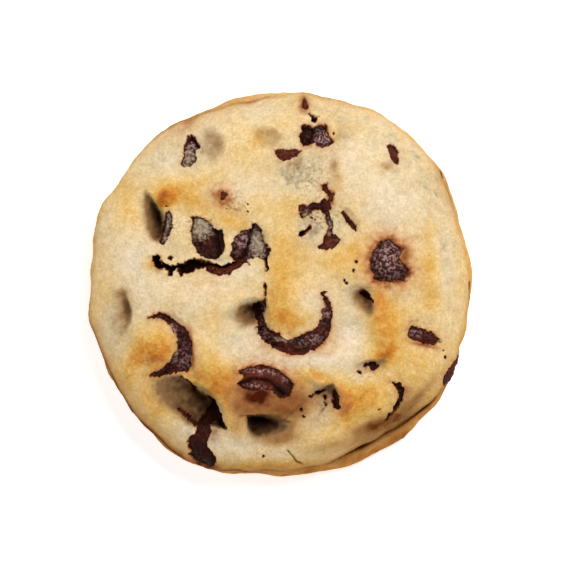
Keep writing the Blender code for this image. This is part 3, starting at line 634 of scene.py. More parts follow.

# %% [markdown]
# ## Where the crust has torn open
# Chips melt, sink and pull the crust apart, so that each shows through a ragged hole of its own shape. Here
# every hole is an outline of a few points, and a vertex inside it sinks by the depth of the cut. Small waves
# added to the distance make the edge ragged.

# %% Openings
# Openings: chip's name or nothing for a bare hole, depth of the cut, how deep the chip lies at its edge, how
# much it rises to its middle, strength and width of the stain around, and the outline.
OPENINGS = (
    # the long grey one at the upper left
    ("chip_upper_left", 1.1, 0.35, 0.25, 0.2, 0.5, ((-16.8, 26.5), (-16.2, 26.8), (-15.7, 26.3),
        (-15.1, 25.6), (-14.6, 24.7), (-14.2, 24.1), (-15, 24.3), (-15.3, 24), (-15.3, 22.7), (-15.5, 21.8),
        (-16, 21.4), (-16.8, 20.9), (-17.5, 20.9), (-17.8, 21.6), (-17.5, 22.7), (-17.5, 24), (-17.3, 25),
        (-16.9, 25.8))),
    # the broken one at the top
    ("chip_top", 1.3, 0.45, 0.75, 0.45, 0.5, ((3.8, 28.3), (4.5, 28.7), (5, 28.5), (5.9, 28.1), (6.7, 28.5),
        (7.6, 28.3), (8.1, 28.7), (8.5, 28.1), (8.6, 27.4), (8.6, 26.7), (9.4, 25.8), (9.4, 25.2),
        (8.8, 24.7), (7.9, 24.5), (6.8, 24.7), (6.1, 25.4), (5.4, 24.9), (4.7, 25), (4.1, 24.7),
        (3.6, 25.4), (3.4, 26.5), (3.8, 27.4))),
    # a hole above it
    ("", 1.6, 0, 0, 0.2, 0.3, ((5.3, 30.5), (6.1, 30.4), (6.8, 29.9), (6.5, 29.4), (6.3, 28.9), (5.8, 29.2),
        (5.7, 29.9))),
    # a sliver at the top edge
    ("chip_top_edge", 1.0, 0.3, 0.3, 0.4, 0.6, ((4.1, 33.5), (4.5, 33.3), (4.7, 32.6), (5, 31.9),
        (4.7, 31.4), (4.1, 31.4), (3.9, 32.1), (4.1, 32.8))),
    # a flat one under a fold
    ("chip_flat", 1.1, 0.35, 0.35, 0.3, 0.4, ((-1.1, 23.8), (-0.5, 24.1), (0.5, 24), (1.6, 24), (2.7, 24),
        (3.8, 23.8), (3.2, 23.2), (2.9, 22.8), (2.2, 22.6), (1.6, 22.2), (0.7, 22), (-0.2, 22.2),
        (-0.9, 23.1))),
    # a small one at the upper right
    ("chip_upper_right", 1.1, 0.35, 0.3, 0.25, 0.5, ((19.3, 24.7), (20, 25), (20.7, 24.5), (21.3, 23.6),
        (21.4, 22.5), (21.1, 21.6), (20.5, 21.6), (20, 22.3), (19.6, 23.4))),
    # one in a crack
    ("chip_crack", 1.3, 0.5, 0.2, 0.5, 0.4, ((7.4, 17.5), (7.9, 18), (8.3, 17.8), (8.3, 17.3), (8.8, 16.6),
        (9, 16), (9.6, 16.2), (9.6, 15.3), (9.2, 14.4), (8.6, 14.6), (8.8, 15.5), (8.3, 16.2),
        (7.7, 16.8))),
    # the broken ring right of the middle
    ("chip_horseshoe", 1.5, 0.5, 0.25, 0.25, 0.4, ((3.4, 13.9), (4.1, 14.2), (4.7, 13.7), (5.4, 14.3),
        (6.1, 14.2), (6.7, 13.9), (7.4, 14.8), (7.9, 15), (8.6, 14.6), (9, 14.1), (9, 13.3), (8.5, 13),
        (8.8, 12.3), (9, 11.4), (9.4, 10.3), (9.2, 9.4), (9.2, 8.6), (9.9, 8.6), (10.8, 7.7), (10.3, 7),
        (9.2, 6.3), (8.1, 6.1), (6.7, 6.3), (7.4, 6.8), (7.9, 7.7), (8.1, 8.6), (8.5, 9.7), (8.3, 10.8),
        (7.9, 11.9), (7.7, 12.8), (7.2, 13.3), (6.5, 13), (5.6, 13), (5.4, 12.4), (4.7, 12.1), (4, 11.6),
        (3.4, 12.3), (3.4, 13.2))),
    # a tear inside that ring
    ("", 1.2, 0, 0, 0.2, 0.3, ((3.2, 8.5), (3.4, 9.2), (4.3, 9.4), (4.9, 9.9), (5.4, 10.6), (5.4, 9.9),
        (5, 9.2), (4.3, 8.6), (3.6, 8.3))),
    # a sliver beside the ring
    ("chip_sliver", 1.2, 0.45, 0.3, 0.2, 0.4, ((11, 12.9), (11.5, 12.8), (12.3, 11.9), (13, 11),
        (13.5, 10.3), (13.7, 9.4), (13, 9.6), (12.4, 10.5), (11.7, 11.4), (11.2, 12.3))),
    # the wrinkled round one
    ("chip_round", 1.2, 0.35, 0.75, 0.8, 1.1, ((17.8, 7.2), (18.7, 7.6), (19.8, 7.7), (20.5, 7),
        (21.4, 6.5), (22.2, 6.1), (21.6, 5.2), (21.4, 4.5), (21.8, 3.8), (22.5, 3.2), (23.1, 2.3),
        (22.9, 1.4), (22.3, 0.4), (21.4, 0.4), (20.5, 0.4), (19.5, 0), (18.6, 0.5), (17.8, 0.2),
        (17.1, 0.7), (16.6, 1.8), (16.2, 3.1), (16.2, 4.5), (16.8, 5.8))),
    # the one at the right
    ("chip_right", 1.2, 0.4, 0.6, 0.5, 0.6, ((23.1, -8.5), (23.8, -7.9), (24.7, -8.1), (25.6, -8.5),
        (26.5, -8.6), (27.4, -9), (28.1, -9.7), (28.8, -10.3), (28.3, -10.8), (27.6, -11.2), (26.3, -11),
        (24.9, -10.6), (23.8, -10.3), (23.1, -9.6))),
    # a thin crescent at the lower right
    ("chip_lower_right", 1.4, 0.6, 0.35, 0.3, 0.8, ((20, -17.8), (20.7, -18.2), (21.6, -18.1),
        (22.2, -19.1), (22.2, -20.4), (21.8, -21.6), (21.3, -22.7), (20.5, -23.8), (19.5, -24.7),
        (18.6, -25.6), (19.3, -24.3), (20.2, -23.1), (20.9, -22), (21.4, -20.7), (21.4, -19.5),
        (20.7, -18.7))),
    # a sliver in a dimple
    ("chip_dimple", 1.0, 0.45, 0.2, 0.4, 0.5, ((15.1, -14.6), (16, -14.4), (16.9, -14.3), (17.8, -14.8),
        (17.5, -15.3), (16.9, -15.9), (16.4, -15.7), (15.9, -15), (15.1, -15.1))),
    # a sliver in the lower dimple
    ("chip_lower_dimple", 1.4, 0.5, 0.35, 0.5, 0.6, ((9.4, -19.5), (9.9, -19.1), (10.3, -20), (10.6, -21.3),
        (10.8, -22.5), (10.3, -23), (9.6, -22.5), (9.4, -21.3))),
    # the dark fold above that dimple
    ("", 0.9, 0, 0, 0.5, 0.8, ((5.2, -20.5), (6.1, -19.8), (7, -19.5), (7.9, -19.1), (8.1, -19.5),
        (7.2, -19.9), (6.3, -20.3), (5.4, -20.7))),
    # the large glossy one at the bottom
    ("chip_bottom", 1.3, 0.4, 0.85, 0.7, 0.9, ((-7.7, -15.9), (-6.8, -15.7), (-5.6, -15.2), (-4.1, -15),
        (-2.7, -15), (-1.3, -15.5), (0, -16), (0.7, -16.8), (1.8, -17.5), (2.3, -18.4), (2.2, -19.3),
        (1.6, -20.4), (0.5, -20.9), (-0.5, -20.2), (-1.6, -19.5), (-2.7, -19.1), (-3.8, -19.3),
        (-5.2, -19.5), (-6.3, -19.3), (-7.2, -18.7), (-7.9, -18.2), (-7, -17.7), (-6.5, -17.1),
        (-6.8, -16.4))),
    # the rim of the chip in the middle
    ("chip_centre", 1.4, 0.45, 0.45, 0.5, 0.5, ((-2.7, -2.9), (-3.4, -4.1), (-4, -5.9), (-4, -8.1),
        (-3.6, -9.6), (-2.7, -10.6), (-1.3, -11.7), (0.5, -12.4), (2.3, -13), (4.1, -12.8), (5.9, -12.1),
        (7.4, -11), (8.5, -9.6), (9, -7.7), (9.2, -5.8), (9, -4.1), (8.3, -2.5), (7.4, -1.8), (7.9, -3.2),
        (8.1, -4.5), (7.4, -5.2), (7.4, -6.7), (6.7, -7.9), (5.2, -8.8), (3.6, -9.6), (2.3, -10.1),
        (1.3, -10.5), (0.2, -9.9), (-0.4, -9), (-2, -8.8), (-2.7, -7.7), (-3.1, -5.8), (-2.9, -4.1))),
    # the rim of the chip at the left
    ("chip_left_dome", 1.3, 0.4, 0.4, 0.6, 0.6, ((-23.8, -6.3), (-22.9, -5.8), (-21.6, -5.5), (-20.4, -5.9),
        (-19.3, -6.7), (-18.2, -7.6), (-16.9, -8.1), (-16.6, -9.6), (-16, -11.2), (-16, -13), (-16.2, -15),
        (-16.8, -16), (-18, -16), (-19.5, -16.2), (-20.9, -16.6), (-22.3, -16.9), (-24, -16.8),
        (-22.7, -16.2), (-21.3, -15.5), (-20, -14.4), (-19.3, -13.2), (-18.6, -12.1), (-18.6, -10.5),
        (-18.9, -9.4), (-19.8, -7.7), (-20.9, -6.7), (-22.3, -6.3))),
    # the bare one at the lower rim
    ("chip_rim", 1.1, 0.35, 0.2, 0.3, 0.3, ((-15.1, -25.9), (-14.6, -25.2), (-13.5, -25.4), (-12.8, -25.9),
        (-12.6, -27), (-13, -27.9), (-13.5, -28.8), (-13.2, -29.9), (-12.6, -30.6), (-11.9, -31.4),
        (-11.7, -32.4), (-12.3, -33.3), (-13.2, -33.5), (-14.2, -33), (-15.3, -32.3), (-16.4, -31.5),
        (-16.9, -31.2), (-16.2, -30.5), (-16.8, -29.7), (-16.9, -28.8), (-16.4, -27.9), (-15.5, -27.4),
        (-15.3, -26.7))),
    # the dark one under the overhang
    ("chip_hollow", 1.6, 0.7, 0.2, 0.2, 0.5, ((-13.2, -20.4), (-12.4, -20.9), (-11.7, -21.8), (-11, -23.1),
        (-10.6, -24.1), (-9.9, -26.1), (-10.5, -25.9), (-11.2, -24.9), (-11.9, -24.9), (-12.6, -25.4),
        (-13.7, -25.6), (-14.8, -25.4), (-15.3, -25.9), (-16, -25.2), (-17.1, -24.5), (-17.8, -23.4),
        (-18.7, -22.9), (-18.7, -22.5), (-17.5, -22.9), (-16.6, -23.6), (-15.7, -24.5), (-14.8, -24.9),
        (-14.4, -24.1), (-13.7, -23.4), (-13.2, -22.7), (-12.6, -22.3), (-12.4, -21.6))),
    # a sliver at the left
    ("chip_left_sliver", 1.0, 0.4, 0.3, 0.2, 0.4, ((-20.7, 12.5), (-20, 12.8), (-19.5, 11.7), (-19.5, 10.5),
        (-19.9, 9.2), (-20.5, 7.7), (-21.1, 6.9), (-21.8, 7.2), (-21.8, 8.3), (-21.5, 9.4), (-21.2, 10.6),
        (-20.9, 11.7))),
    # the left one of the pair
    ("chip_left", 1.5, 0.6, 0.55, 0.2, 0.4, ((-15.9, 11.5), (-15.1, 11.9), (-14.1, 11.5), (-13, 11),
        (-12.1, 10.1), (-11.5, 9.4), (-11, 9.6), (-10.6, 9.6), (-10.3, 8.5), (-10.1, 7), (-10.3, 5.8),
        (-10.8, 4.9), (-11.7, 4.3), (-13, 4.3), (-14.1, 4.7), (-15, 5.6), (-15.5, 6.7), (-15.9, 8.1),
        (-16, 9.7))),
    # the right one of the pair
    ("chip_left_neighbour", 1.4, 0.5, 0.5, 0.25, 0.4, ((-8.8, 5.8), (-8.6, 7.2), (-8.1, 8.3), (-7, 9.2),
        (-5.9, 9.6), (-5.2, 9.7), (-5, 10.7), (-4.3, 10.6), (-3.6, 9.9), (-3.4, 9), (-3.1, 7.7),
        (-2.5, 6.7), (-2, 5.8), (-2.5, 5.2), (-3.4, 4.9), (-4.9, 4.7), (-5.9, 4.3), (-7.2, 4), (-8.3, 4),
        (-9, 4.9))),
    # a reddish one in the long crack
    ("chip_left_crack", 1.5, 0.7, 0.2, 0.2, 0.3, ((-13.5, 2.7), (-12.3, 2.6), (-11, 2.3), (-9.9, 2.3),
        (-8.6, 3), (-7.4, 3.6), (-6.3, 4), (-7, 3.1), (-8.3, 2.3), (-9.4, 1.6), (-10.6, 1.3), (-12.1, 1.6),
        (-13.2, 2.2))),
    # the long crack
    ("", 1.9, 0, 0, 0.15, 0.3, ((-21.8, 4.5), (-21.3, 3.8), (-20.4, 3.2), (-20, 2.9), (-19.5, 3.1),
        (-18.6, 3.4), (-17.5, 3.4), (-16.6, 4.1), (-15.5, 4.3), (-14.6, 4.3), (-14.1, 4.1), (-12.8, 3.8),
        (-11.7, 3.2), (-10.6, 3), (-9.2, 3.4), (-7.7, 4.1), (-6.3, 4.8), (-5.2, 4.9), (-3.4, 5),
        (-2.7, 5.4), (-2.3, 6.7), (-1.8, 5.8), (-2.3, 5), (-2.3, 3.8), (-2.3, 2.3), (-2.7, 2), (-2.7, 3.8),
        (-3.2, 4.5), (-4.9, 4.7), (-5.9, 4.3), (-7, 3.6), (-8.5, 2.9), (-9.6, 2.2), (-10.6, 2.2),
        (-12.1, 2.5), (-13.5, 2.7), (-14.6, 2.6), (-15.5, 2.3), (-16.4, 1.6), (-17.5, 2), (-17.8, 1.1),
        (-18.4, 1.6), (-18.6, 2.7), (-19.3, 2.3), (-19.6, 1.4), (-20.2, 1.3), (-20.4, 2.2), (-21.4, 3.2))),
    # the hole at its left end
    ("", 1.3, 0, 0, 0.3, 0.5, ((-22.9, 4.7), (-22.2, 5.1), (-21.6, 4.5), (-21.8, 3.6), (-21.3, 2.7),
        (-21.8, 2.2), (-22.5, 2.9), (-23.1, 3.8))),
    # a speck that shows through
    ("chip_pink", 0.9, 0.3, 0.15, 0.7, 0.9, ((-10.8, 15.7), (-10.5, 16.5), (-9.9, 16.4), (-9.7, 15.7),
        (-10.1, 15), (-10.6, 14.8))),
    # a dark crescent right of the middle
    ("chip_right_hollow", 1.3, 0.5, 0.2, 0.3, 0.5, ((14.2, -1.8), (14.8, -1.3), (15.5, -1.6), (16.2, -2.3),
        (16.6, -3.6), (16, -3.2), (15.5, -2.9), (14.6, -2.3))),
    # the shaded one left of the middle
    ("chip_centre_left", 1.2, 0.4, 0.3, 0.3, 0.4, ((-4.9, -3.8), (-3.8, -3.6), (-2.7, -2.9), (-2.7, -4.1),
        (-3.2, -5.4), (-3.8, -6.8), (-4.5, -6.5), (-5, -5.2))),
)
# Pinholes and dark crumbs: x, y, radius.
SPECKS = (
    (13.7, 3.8, 0.26), (13.1, 2.2, 0.3), (11.9, -0.2, 0.3), (11.5, 0.4, 0.22),
    (3.8, -22.9, 0.31), (4.1, -24.2, 0.29), (-3.1, -31.5, 0.23), (29.6, -12.3, 0.18), (29.9, -13.5, 0.25),
    (17.8, -22.9, 0.18), (8.1, -20.5, 0.36), (8.1, -21.8, 0.31), (14.3, -16.1, 0.34), (-19.8, 4.4, 0.4),
    (-2.9, -0.7, 0.25), (-9.7, 13.2, 0.18), (-5.8, 14.2, 0.16), (-5.8, 12.8, 0.14), (4.7, 12.6, 0.27),
    (5.6, 11.7, 0.23), (6.3, 11.2, 0.22), (-15.9, 11.7, 0.27), (-13.7, 10.8, 0.22), (9.6, 27, 0.25),
)

# %% Cut the openings
# Width of a cut's wall, height of the lip round it, and raggedness of its edge.
WALL = 0.38
LIP = 0.12
RAGGED = 0.14
# How far round an opening its lip and stain are worked out, and the least height in its frame.
CUT_REACH = 4
LEAST_UP = 2.0
SPECK_DEPTH = 0.45


def ragged(u, v):
    """Raggedness of torn dough."""
    return RAGGED * (waves(u, v, 1.3, 31) + 0.7 * waves(u, v, 0.6, 32))


def side_frame(angle, height):
    """Middle, and ways along, up and out, of a place in the side."""
    cos, sin = math.cos(math.radians(angle)), math.sin(math.radians(angle))
    return np.array([0, 0, height]), np.array([[-sin, cos, 0], [0, 0, 1], [cos, sin, 0]])


TOP_FRAME = (np.zeros(3), np.eye(3))
all_openings = [(*row, TOP_FRAME) for row in OPENINGS]
for name, angle, height, half_long, half_high, sink, rise in SIDE_OPENINGS:
    turns = np.linspace(0, 2 * math.pi, 20, endpoint=False)
    uneven = 1 + 0.14 * np.sin(2 * turns + angle) + 0.1 * np.sin(3 * turns + 2 * angle)
    oval = tuple(zip(half_long * np.cos(turns) * uneven, half_high * np.sin(turns) * uneven))
    all_openings.append((name, 1.0, sink, rise, 0.35, 0.6, oval, side_frame(angle, height)))

cut_depth, stain_of_cut, cocoa_and_shade = np.zeros(len(s)), np.zeros(len(s)), np.zeros(len(s))
for name, cut, sink, rise, halo, width, outline, (middle, ways) in all_openings:
    u, v, w = ((skin - middle) @ ways.T).T
    corners = np.array(outline)
    near = (w > LEAST_UP) & (s < 2.6)
    for place, along in ((u, corners[:, 0]), (v, corners[:, 1])):
        near &= np.abs(place - along.mean()) < np.ptp(along) / 2 + CUT_REACH
    d = inside_distance(u[near], v[near], outline) + ragged(u[near], v[near])
    lip = LIP * np.exp(-((d + 0.25) / 0.3) ** 2)
    sunk = np.maximum(cut_depth[near], cut * smooth(d / WALL + 0.15))
    cut_depth[near] = np.where(d > -0.1, sunk, cut_depth[near] - lip)
    away = np.clip(-d - 0.2 * width * waves(u[near], v[near], 0.9, 33), 0, None)
    stain_of_cut[near] = np.maximum(stain_of_cut[near], halo * np.exp(-away / width))
    # The dough at a cut's wall and inside it is painted dark: chocolate melted against it, and painted shade
    # in the recess.
    cocoa_and_shade[near] = np.maximum(cocoa_and_shade[near], smooth((d + 0.16) / 0.36))
# Each speck sinks and is painted dark: crumbs are dark, and in the pinholes it is painted shade.
for place_x, place_y, radius in SPECKS:
    uneven = radius * (1 + 0.4 * waves(*skin[:, :2].T, 0.8, 66))
    d = 1 - np.hypot(skin[:, 0] - place_x, skin[:, 1] - place_y) / uneven
    cut_depth += SPECK_DEPTH * smooth(d + 0.3) * (s < 1)
    cocoa_and_shade = np.maximum(cocoa_and_shade, 0.9 * smooth(2 * d + 0.3) * (s < 1))
crack_depth = cracks(*skin[:, :2].T) * (s < 1.2)
set_points(crust, skin - (cut_depth + crack_depth)[:, None] * normals)
print("points cut down:", int((cut_depth > 0.3).sum()))

# %% Close the underside
# Each new ring's size as a share of the one before.
RIM_STEPS = (0.985, 0.93, 0.75, 0.4)
bpy.ops.object.select_all(action="DESELECT")
crust.select_set(True)
bpy.context.view_layer.objects.active = crust
bpy.ops.object.mode_set(mode="EDIT")
bpy.ops.mesh.select_mode(type="EDGE")
bpy.ops.mesh.select_all(action="DESELECT")
bpy.ops.mesh.select_non_manifold()
for scale in RIM_STEPS:
    bpy.ops.mesh.extrude_edges_move()
    bpy.ops.transform.resize(value=(scale, scale, 1), center_override=tuple(shift * MM))
bpy.ops.mesh.edge_face_add()
bpy.ops.mesh.select_mode(type="VERT")
bpy.ops.object.mode_set(mode="OBJECT")
print("closed dough:", len(crust.data.polygons), "faces")

# %% [markdown]
# ## Where the dough is pale, golden, grey, stained or painted with shade
# Heat browns what stands up and leaves the hollows pale. Dough that is thin over a chip looks grey, dough
# beside melted chocolate is stained red-brown, and the deepest hollows hold chocolate and painted shade.
# Shade is also painted into the folds, cracks, pleats and the crease over the foot, and on the rim where the
# light falls off. Each vertex gets these as numbers from 0 to 1, laid on as soft ovals at the places where
# the real cookie has them.

# %% Tables of tints: x, y, half length, half width, turn, strength
# Golden to brown, where the heat reached most.
BROWNED = (
    (-16.4, 17.5, 10.8, 2.9, 4, 0.24),  # upper left ridge
    (-20.7, 15.5, 2.5, 1.8, 20, 0.46),  # its near end
    (-13.7, 13.9, 7.2, 2.5, -8, 0.22),  # below it
    (-5.6, 14.1, 4.7, 2.5, 0, 0.14),  # towards the middle
    (2.7, 14.1, 2.2, 3.6, 0, 0.22),  # left of the horseshoe
    (-0.7, 6.8, 2.3, 8.6, 3, 0.14),  # centre ridge, upper
    (0.0, -3.1, 3.6, 7.2, -4, 0.18),  # centre ridge, lower
    (1.3, -7.0, 4.0, 2.2, -8, 0.34),  # foot of the centre dome
    (-2.0, -5.2, 1.4, 4.0, 0, 0.14),  # its left wall
    (8.8, 3.8, 7.9, 3.2, 6, 0.2),  # right of the centre ridge
    (12.8, 5.9, 2.5, 1.8, 20, 0.24),  # by the round chip
    (18.9, -7.0, 3.1, 7.9, 6, 0.32),  # right ridge
    (18.6, -13.3, 2.9, 1.8, 10, 0.36),  # its foot
    (17.5, -2.3, 1.6, 3.6, -20, 0.22),  # its shoulder
    (26.8, 3.8, 1.6, 7.9, 0, 0.24),  # right band
    (27.9, -3.1, 1.8, 2.5, 0, 0.16),  # its end
    (20.5, 3.8, 5.4, 5.4, 0, 0.08),  # round the round chip
    (14.6, -20.7, 4.7, 3.6, -10, 0.24),  # lower right dome
    (11.4, -22.5, 1.8, 3.2, 10, 0.32),  # its left wall
    (7.0, -16.8, 4.0, 1.4, -20, 0.34),  # thin ridge
    (3.4, -18.2, 2.5, 1.8, -30, 0.4),  # right of the bottom chip
    (-11.7, -19.3, 6.5, 2.5, 22, 0.46),  # lower left ridge
    (-7.7, -21.4, 4.0, 2.2, 10, 0.45),  # its end
    (-15.3, -17.1, 2.5, 1.8, 0, 0.38),  # its top
    (-11.7, -6.3, 2.5, 2.9, 0, 0.22),  # patch
    (-10.6, -16.0, 4.7, 3.6, -30, 0.2),  # above the ridge
    (-23.1, -11.2, 4.3, 4.7, 0, 0.18),  # left dome
    (-21.8, -14.6, 4.3, 2.5, 0, 0.2),  # its lower half
    (-21.4, -12.4, 2.2, 3.6, -20, 0.22),  # its right
    (-31.6, -3.6, 2.0, 3.4, 10, 0.28),  # rim by the far left dimple
    (-21.6, 14.2, 1.2, 2.0, -20, 0.4),  # over the thumb hollow
    (-26.1, -12.4, 1.8, 4.7, 0, 0.22),  # its left
    (-29.7, -18.4, 2.2, 7.2, -30, 0.2),  # left rim
    (-23.6, -24.7, 2.2, 9.0, -38, 0.16),  # lower left slope
    (-27.4, 13.4, 2.5, 7.2, 20, 0.3),  # left shoulder
    (-3.4, 26.3, 2.5, 1.6, -10, 0.26),  # top shallow
    (10.3, 27.6, 2.5, 3.2, -50, 0.2),  # right of the top chip
    (2.7, 32.3, 1.8, 2.2, 0, 0.2),  # top edge
    (10.6, 18.9, 0.9, 4.7, 0, 0.2),  # lip of the grey valley
    (-23.2, 3.4, 1.8, 1.4, 0, 0.42),  # crack's left end
    (-3.1, -33.7, 10.8, 1.3, 2, 0.6),  # bottom rim
    (-9.6, -25.6, 1.4, 4.0, -10, 0.14),  # nose
    (26.8, -21.1, 4.3, 3.6, -40, 0.14),  # right flank
    (12.8, 12.8, 2.5, 2.9, 30, 0.12),  # by the sliver
    (-7.7, 10.3, 4.0, 1.4, -20, 0.34),  # over the left chips
    (18.9, 21.1, 2.2, 1.6, 0, 0.16),  # below the upper right chip
    (-27.6, 17.7, 2.5, 2.2, 50, 0.16),  # upper left rim
    (-29.0, -2.7, 1.8, 1.6, 0, 0.42),  # far left dimple's lip
    (3.4, 6.7, 2.9, 2.5, 0, 0.1),  # horseshoe's foot
    (22.0, -12.0, 11.0, 13.0, 0, 0.17),  # the whole lower right
    (9.0, -25.0, 15.0, 6.0, 14, 0.18),  # the near flank
    (-23.0, -19.0, 6.0, 14.0, 38, 0.18),  # the whole lower left
    (-6.0, -15.0, 14.0, 5.0, 0, 0.06),  # above the bottom chip
)
# Cream, where the heat reached least, and painted light on the lit top of the centre dome.
PALE = (
    (15.1, 21.3, 7.2, 7.2, 0, 0.16),  # upper right
    (20.5, 14.1, 7.2, 6.1, -30, 0.16),  # right of it
    (-3.4, 31.5, 4.0, 2.2, 0, 0.12),  # top
    (-26.3, 5.9, 4.0, 7.9, 8, 0.22),  # left slope
    (-17.3, -3.1, 7.9, 4.0, 0, 0.16),  # below the long crack
    (-6.5, -11.2, 5.4, 4.0, 10, 0.2),  # below the hollow
    (12.4, -9.4, 3.2, 5.0, 10, 0.22),  # pale valley
    (5.0, -14.0, 9.0, 1.8, 0, 0.24),  # under the centre crescent
    (-13.7, 26.7, 3.6, 4.3, 0, 0.12),  # upper left
    # painted light
    (5.2, -3.4, 3.6, 2.5, 0, 0.16),  # lit top of the centre dome
    (14.2, -17.1, 2.9, 1.4, 0, 0.2),  # below the dimple
    (7.0, -22.9, 3.2, 3.2, 0, 0.2),  # lower dimple
    (-5.6, -29.2, 9.0, 2.5, 0, 0.18),  # bottom slope
    (-16.4, -26.1, 2.5, 2.9, -30, 0.18),  # rim slope
    (-12.0, -27.5, 1.3, 3.6, 10, 0.25),  # beside the rim chip
    (20.5, -1.8, 4.3, 1.4, -10, 0.14),  # below the round chip
    (-7.4, 17.7, 5.4, 2.5, 0, 0.12),  # above the ridge
    (-30.8, -6.7, 2.5, 4.7, 0, 0.12),  # far left
    (-20.0, 24.0, 4.0, 4.7, 0, 0.1),  # upper left slope
    (30.1, 2.7, 1.4, 7.2, 0, 0.14),  # right valley
    (-7.4, 2.3, 4.7, 2.2, 0, 0.12),  # under the crack
    (-12.6, 16.2, 2.4, 1.5, 0, 0.24),  # left of the pink chip
    (-7.4, 15.0, 3.4, 1.6, -30, 0.18),  # right of it
)
# Greyish, where the dough is thin over chocolate; in the hollows and dimples the grey is also painted shade.
GREYED = (
    (-15.0, 24.0, 4.3, 4.7, 0, 0.55),  # round the upper left chip
    (-20.9, 23.1, 4.7, 4.0, 40, 0.2),  # upper left slope
    (2.9, 20.2, 4.3, 4.0, -30, 1.1),  # grey valley
    (5.6, 9.9, 3.2, 3.6, 0, 0.9),  # on the horseshoe chip
    (10.3, 11.4, 2.5, 3.6, 0, 0.45),  # right of it
    # painted shade in the far left dimple, where no chip lies
    (-29.7, -6.7, 3.4, 5.6, -8, 0.9),  # far left dimple
    (12.8, -4.0, 3.6, 4.0, 0, 0.5),  # right hollow
    (-7.4, -7.0, 4.0, 2.9, 30, 0.55),  # left hollow
    (-11.0, 4.5, 1.8, 1.4, 0, 0.7),  # below the left chip
    (6.7, -22.2, 3.2, 3.2, 0, 0.75),  # lower dimple
    (-16.8, -26.5, 2.5, 2.9, -30, 0.55),  # rim slope
    (-18.2, -21.1, 4.7, 2.5, -30, 0.4),  # lower left hollow
    (-1.1, -28.3, 6.1, 1.8, 0, 0.35),  # bottom slope
    (26.8, 16.8, 2.9, 4.0, 30, 0.35),  # upper right edge
    (30.1, 3.8, 1.3, 6.1, 0, 0.4),  # right valley
    (14.6, -15.0, 2.5, 1.1, 0, 0.4),  # dimple
    (-9.2, 14.1, 3.6, 1.8, -20, 0.35),  # by the pink chip
    (-19.1, 6.8, 2.5, 1.8, 0, 0.35),  # above the crack
    (-4.7, 7.2, 2.9, 2.9, 0, 0.3),  # neighbour
    (20.5, 25.8, 2.5, 3.2, 30, 0.2),  # above the upper right chip
    (11.5, 30.3, 4.3, 2.2, -20, 0.25),  # top right
    (25.9, -7.0, 3.6, 1.4, -15, 0.25),  # over the right chip
    (-2.0, 32.0, 14.0, 2.6, 0, 0.3),  # top edge
    (-25.5, 20.0, 3.0, 9.0, -45, 0.3),  # upper left edge
    (24.5, 21.5, 3.0, 10.0, 48, 0.3),  # upper right edge
)
# Red-brown, beside melted chocolate.
STAINED = (
    (19.6, 4.0, 5.2, 5.6, 20, 0.7),  # round chip
    (2.7, -11.2, 7.2, 2.5, 0, 0.5),  # under the centre crescent
    (8.8, -9.4, 1.8, 2.5, -40, 0.5),  # its right
    (22.3, -19.8, 1.6, 1.6, 0, 0.55),  # lower right crescent
    (-10.6, 15.0, 3.6, 1.6, -25, 0.5),  # pink chip
    (-13.9, -0.2, 4.0, 2.5, 0, 0.3),  # under the crack
    (-16.9, -14.8, 1.4, 2.9, 0, 0.5),  # left crescent's rim
    (25.8, -10.8, 3.2, 1.1, -24, 0.5),  # right chip's lower side
    (-2.0, -19.0, 5.4, 4.4, -10, 0.5),  # bottom chip
    (4.1, 32.3, 1.4, 2.2, 0, 0.4),  # top edge chip
    (-16.8, 29.4, 2.5, 1.8, 30, 0.3),  # upper left edge
    (30.5, 15.0, 1.1, 4.0, 15, 0.35),  # right edge
    (28.7, 20.7, 1.1, 2.5, 30, 0.35),  # upper right edge
    (9.2, 15.7, 0.7, 2.5, 0, 0.6),  # upright crack
    (1.1, 21.8, 2.9, 1.4, 0, 0.25),  # flat chip
    (6.7, 24.0, 2.9, 1.1, 0, 0.25),  # top chip
    (-21.8, 10.5, 1.8, 3.2, 0, 0.15),  # left sliver
)
# Shade at the foot of steep walls.
DARKENED = (
    (-27.6, -4.5, 0.7, 2.9, -10, 0.3),  # far left dimple's wall
    (-28.8, -5.2, 2.4, 5.0, -5, 0.5),  # far left dimple
    (-23.0, -19.2, 3.6, 2.4, -35, 0.4),  # slope above the overhang
    (9.4, 20.6, 1.1, 4.2, 5, 0.55),  # lip of the grey valley
    (11.2, 26.8, 1.6, 2.4, -30, 0.5),  # beside the top chip
    (-18.9, -17.1, 4.7, 0.7, -18, 0.35),  # under the left dome
    (6.7, -18.9, 3.6, 0.9, 20, 0.25),  # over the lower dimple
    (-0.2, -25.0, 3.0, 0.8, -10, 0.5),  # over the dark hollow
    (-12.0, -27.2, 1.7, 2.2, 0, 1.2),  # below the overhang's tip
)
# Brown dough that takes the rim's tint away from the rim, and painted shade in the dip and the fold of the
# lower right roll and under the dark hollow.
ROLLED = (
    # painted shade in the dip
    (16.4, -25.8, 4.8, 1.3, 18, 0.7),  # dip above the lower right roll
    (17.2, -27.4, 6.4, 2.1, 25, 0.45),  # the roll
    (22.2, -23.2, 3.8, 1.8, 48, 0.5),  # its right end
    # painted shade along the fold
    (26.0, -19.6, 4.6, 0.9, 50, 0.4),  # fold that runs up from it
    (8.8, -29.6, 4.6, 1.3, 12, 0.3),  # its left end
    (-6.6, -22.8, 2.6, 1.8, -20, 0.45),  # left of the bottom chip's brown dough
    (-0.8, -21.6, 7.2, 3.2, -8, 1.1),  # thin brown dough below the bottom chip
    (3.0, -21.2, 2.0, 2.4, -30, 0.4),  # its right end
    # painted shade under the dark hollow
    (-0.9, -27.1, 4.4, 2.6, -6, 0.95),  # under the dark hollow
    (-8.0, -24.6, 1.3, 3.4, 5, 0.35),  # between it and the overhang
)
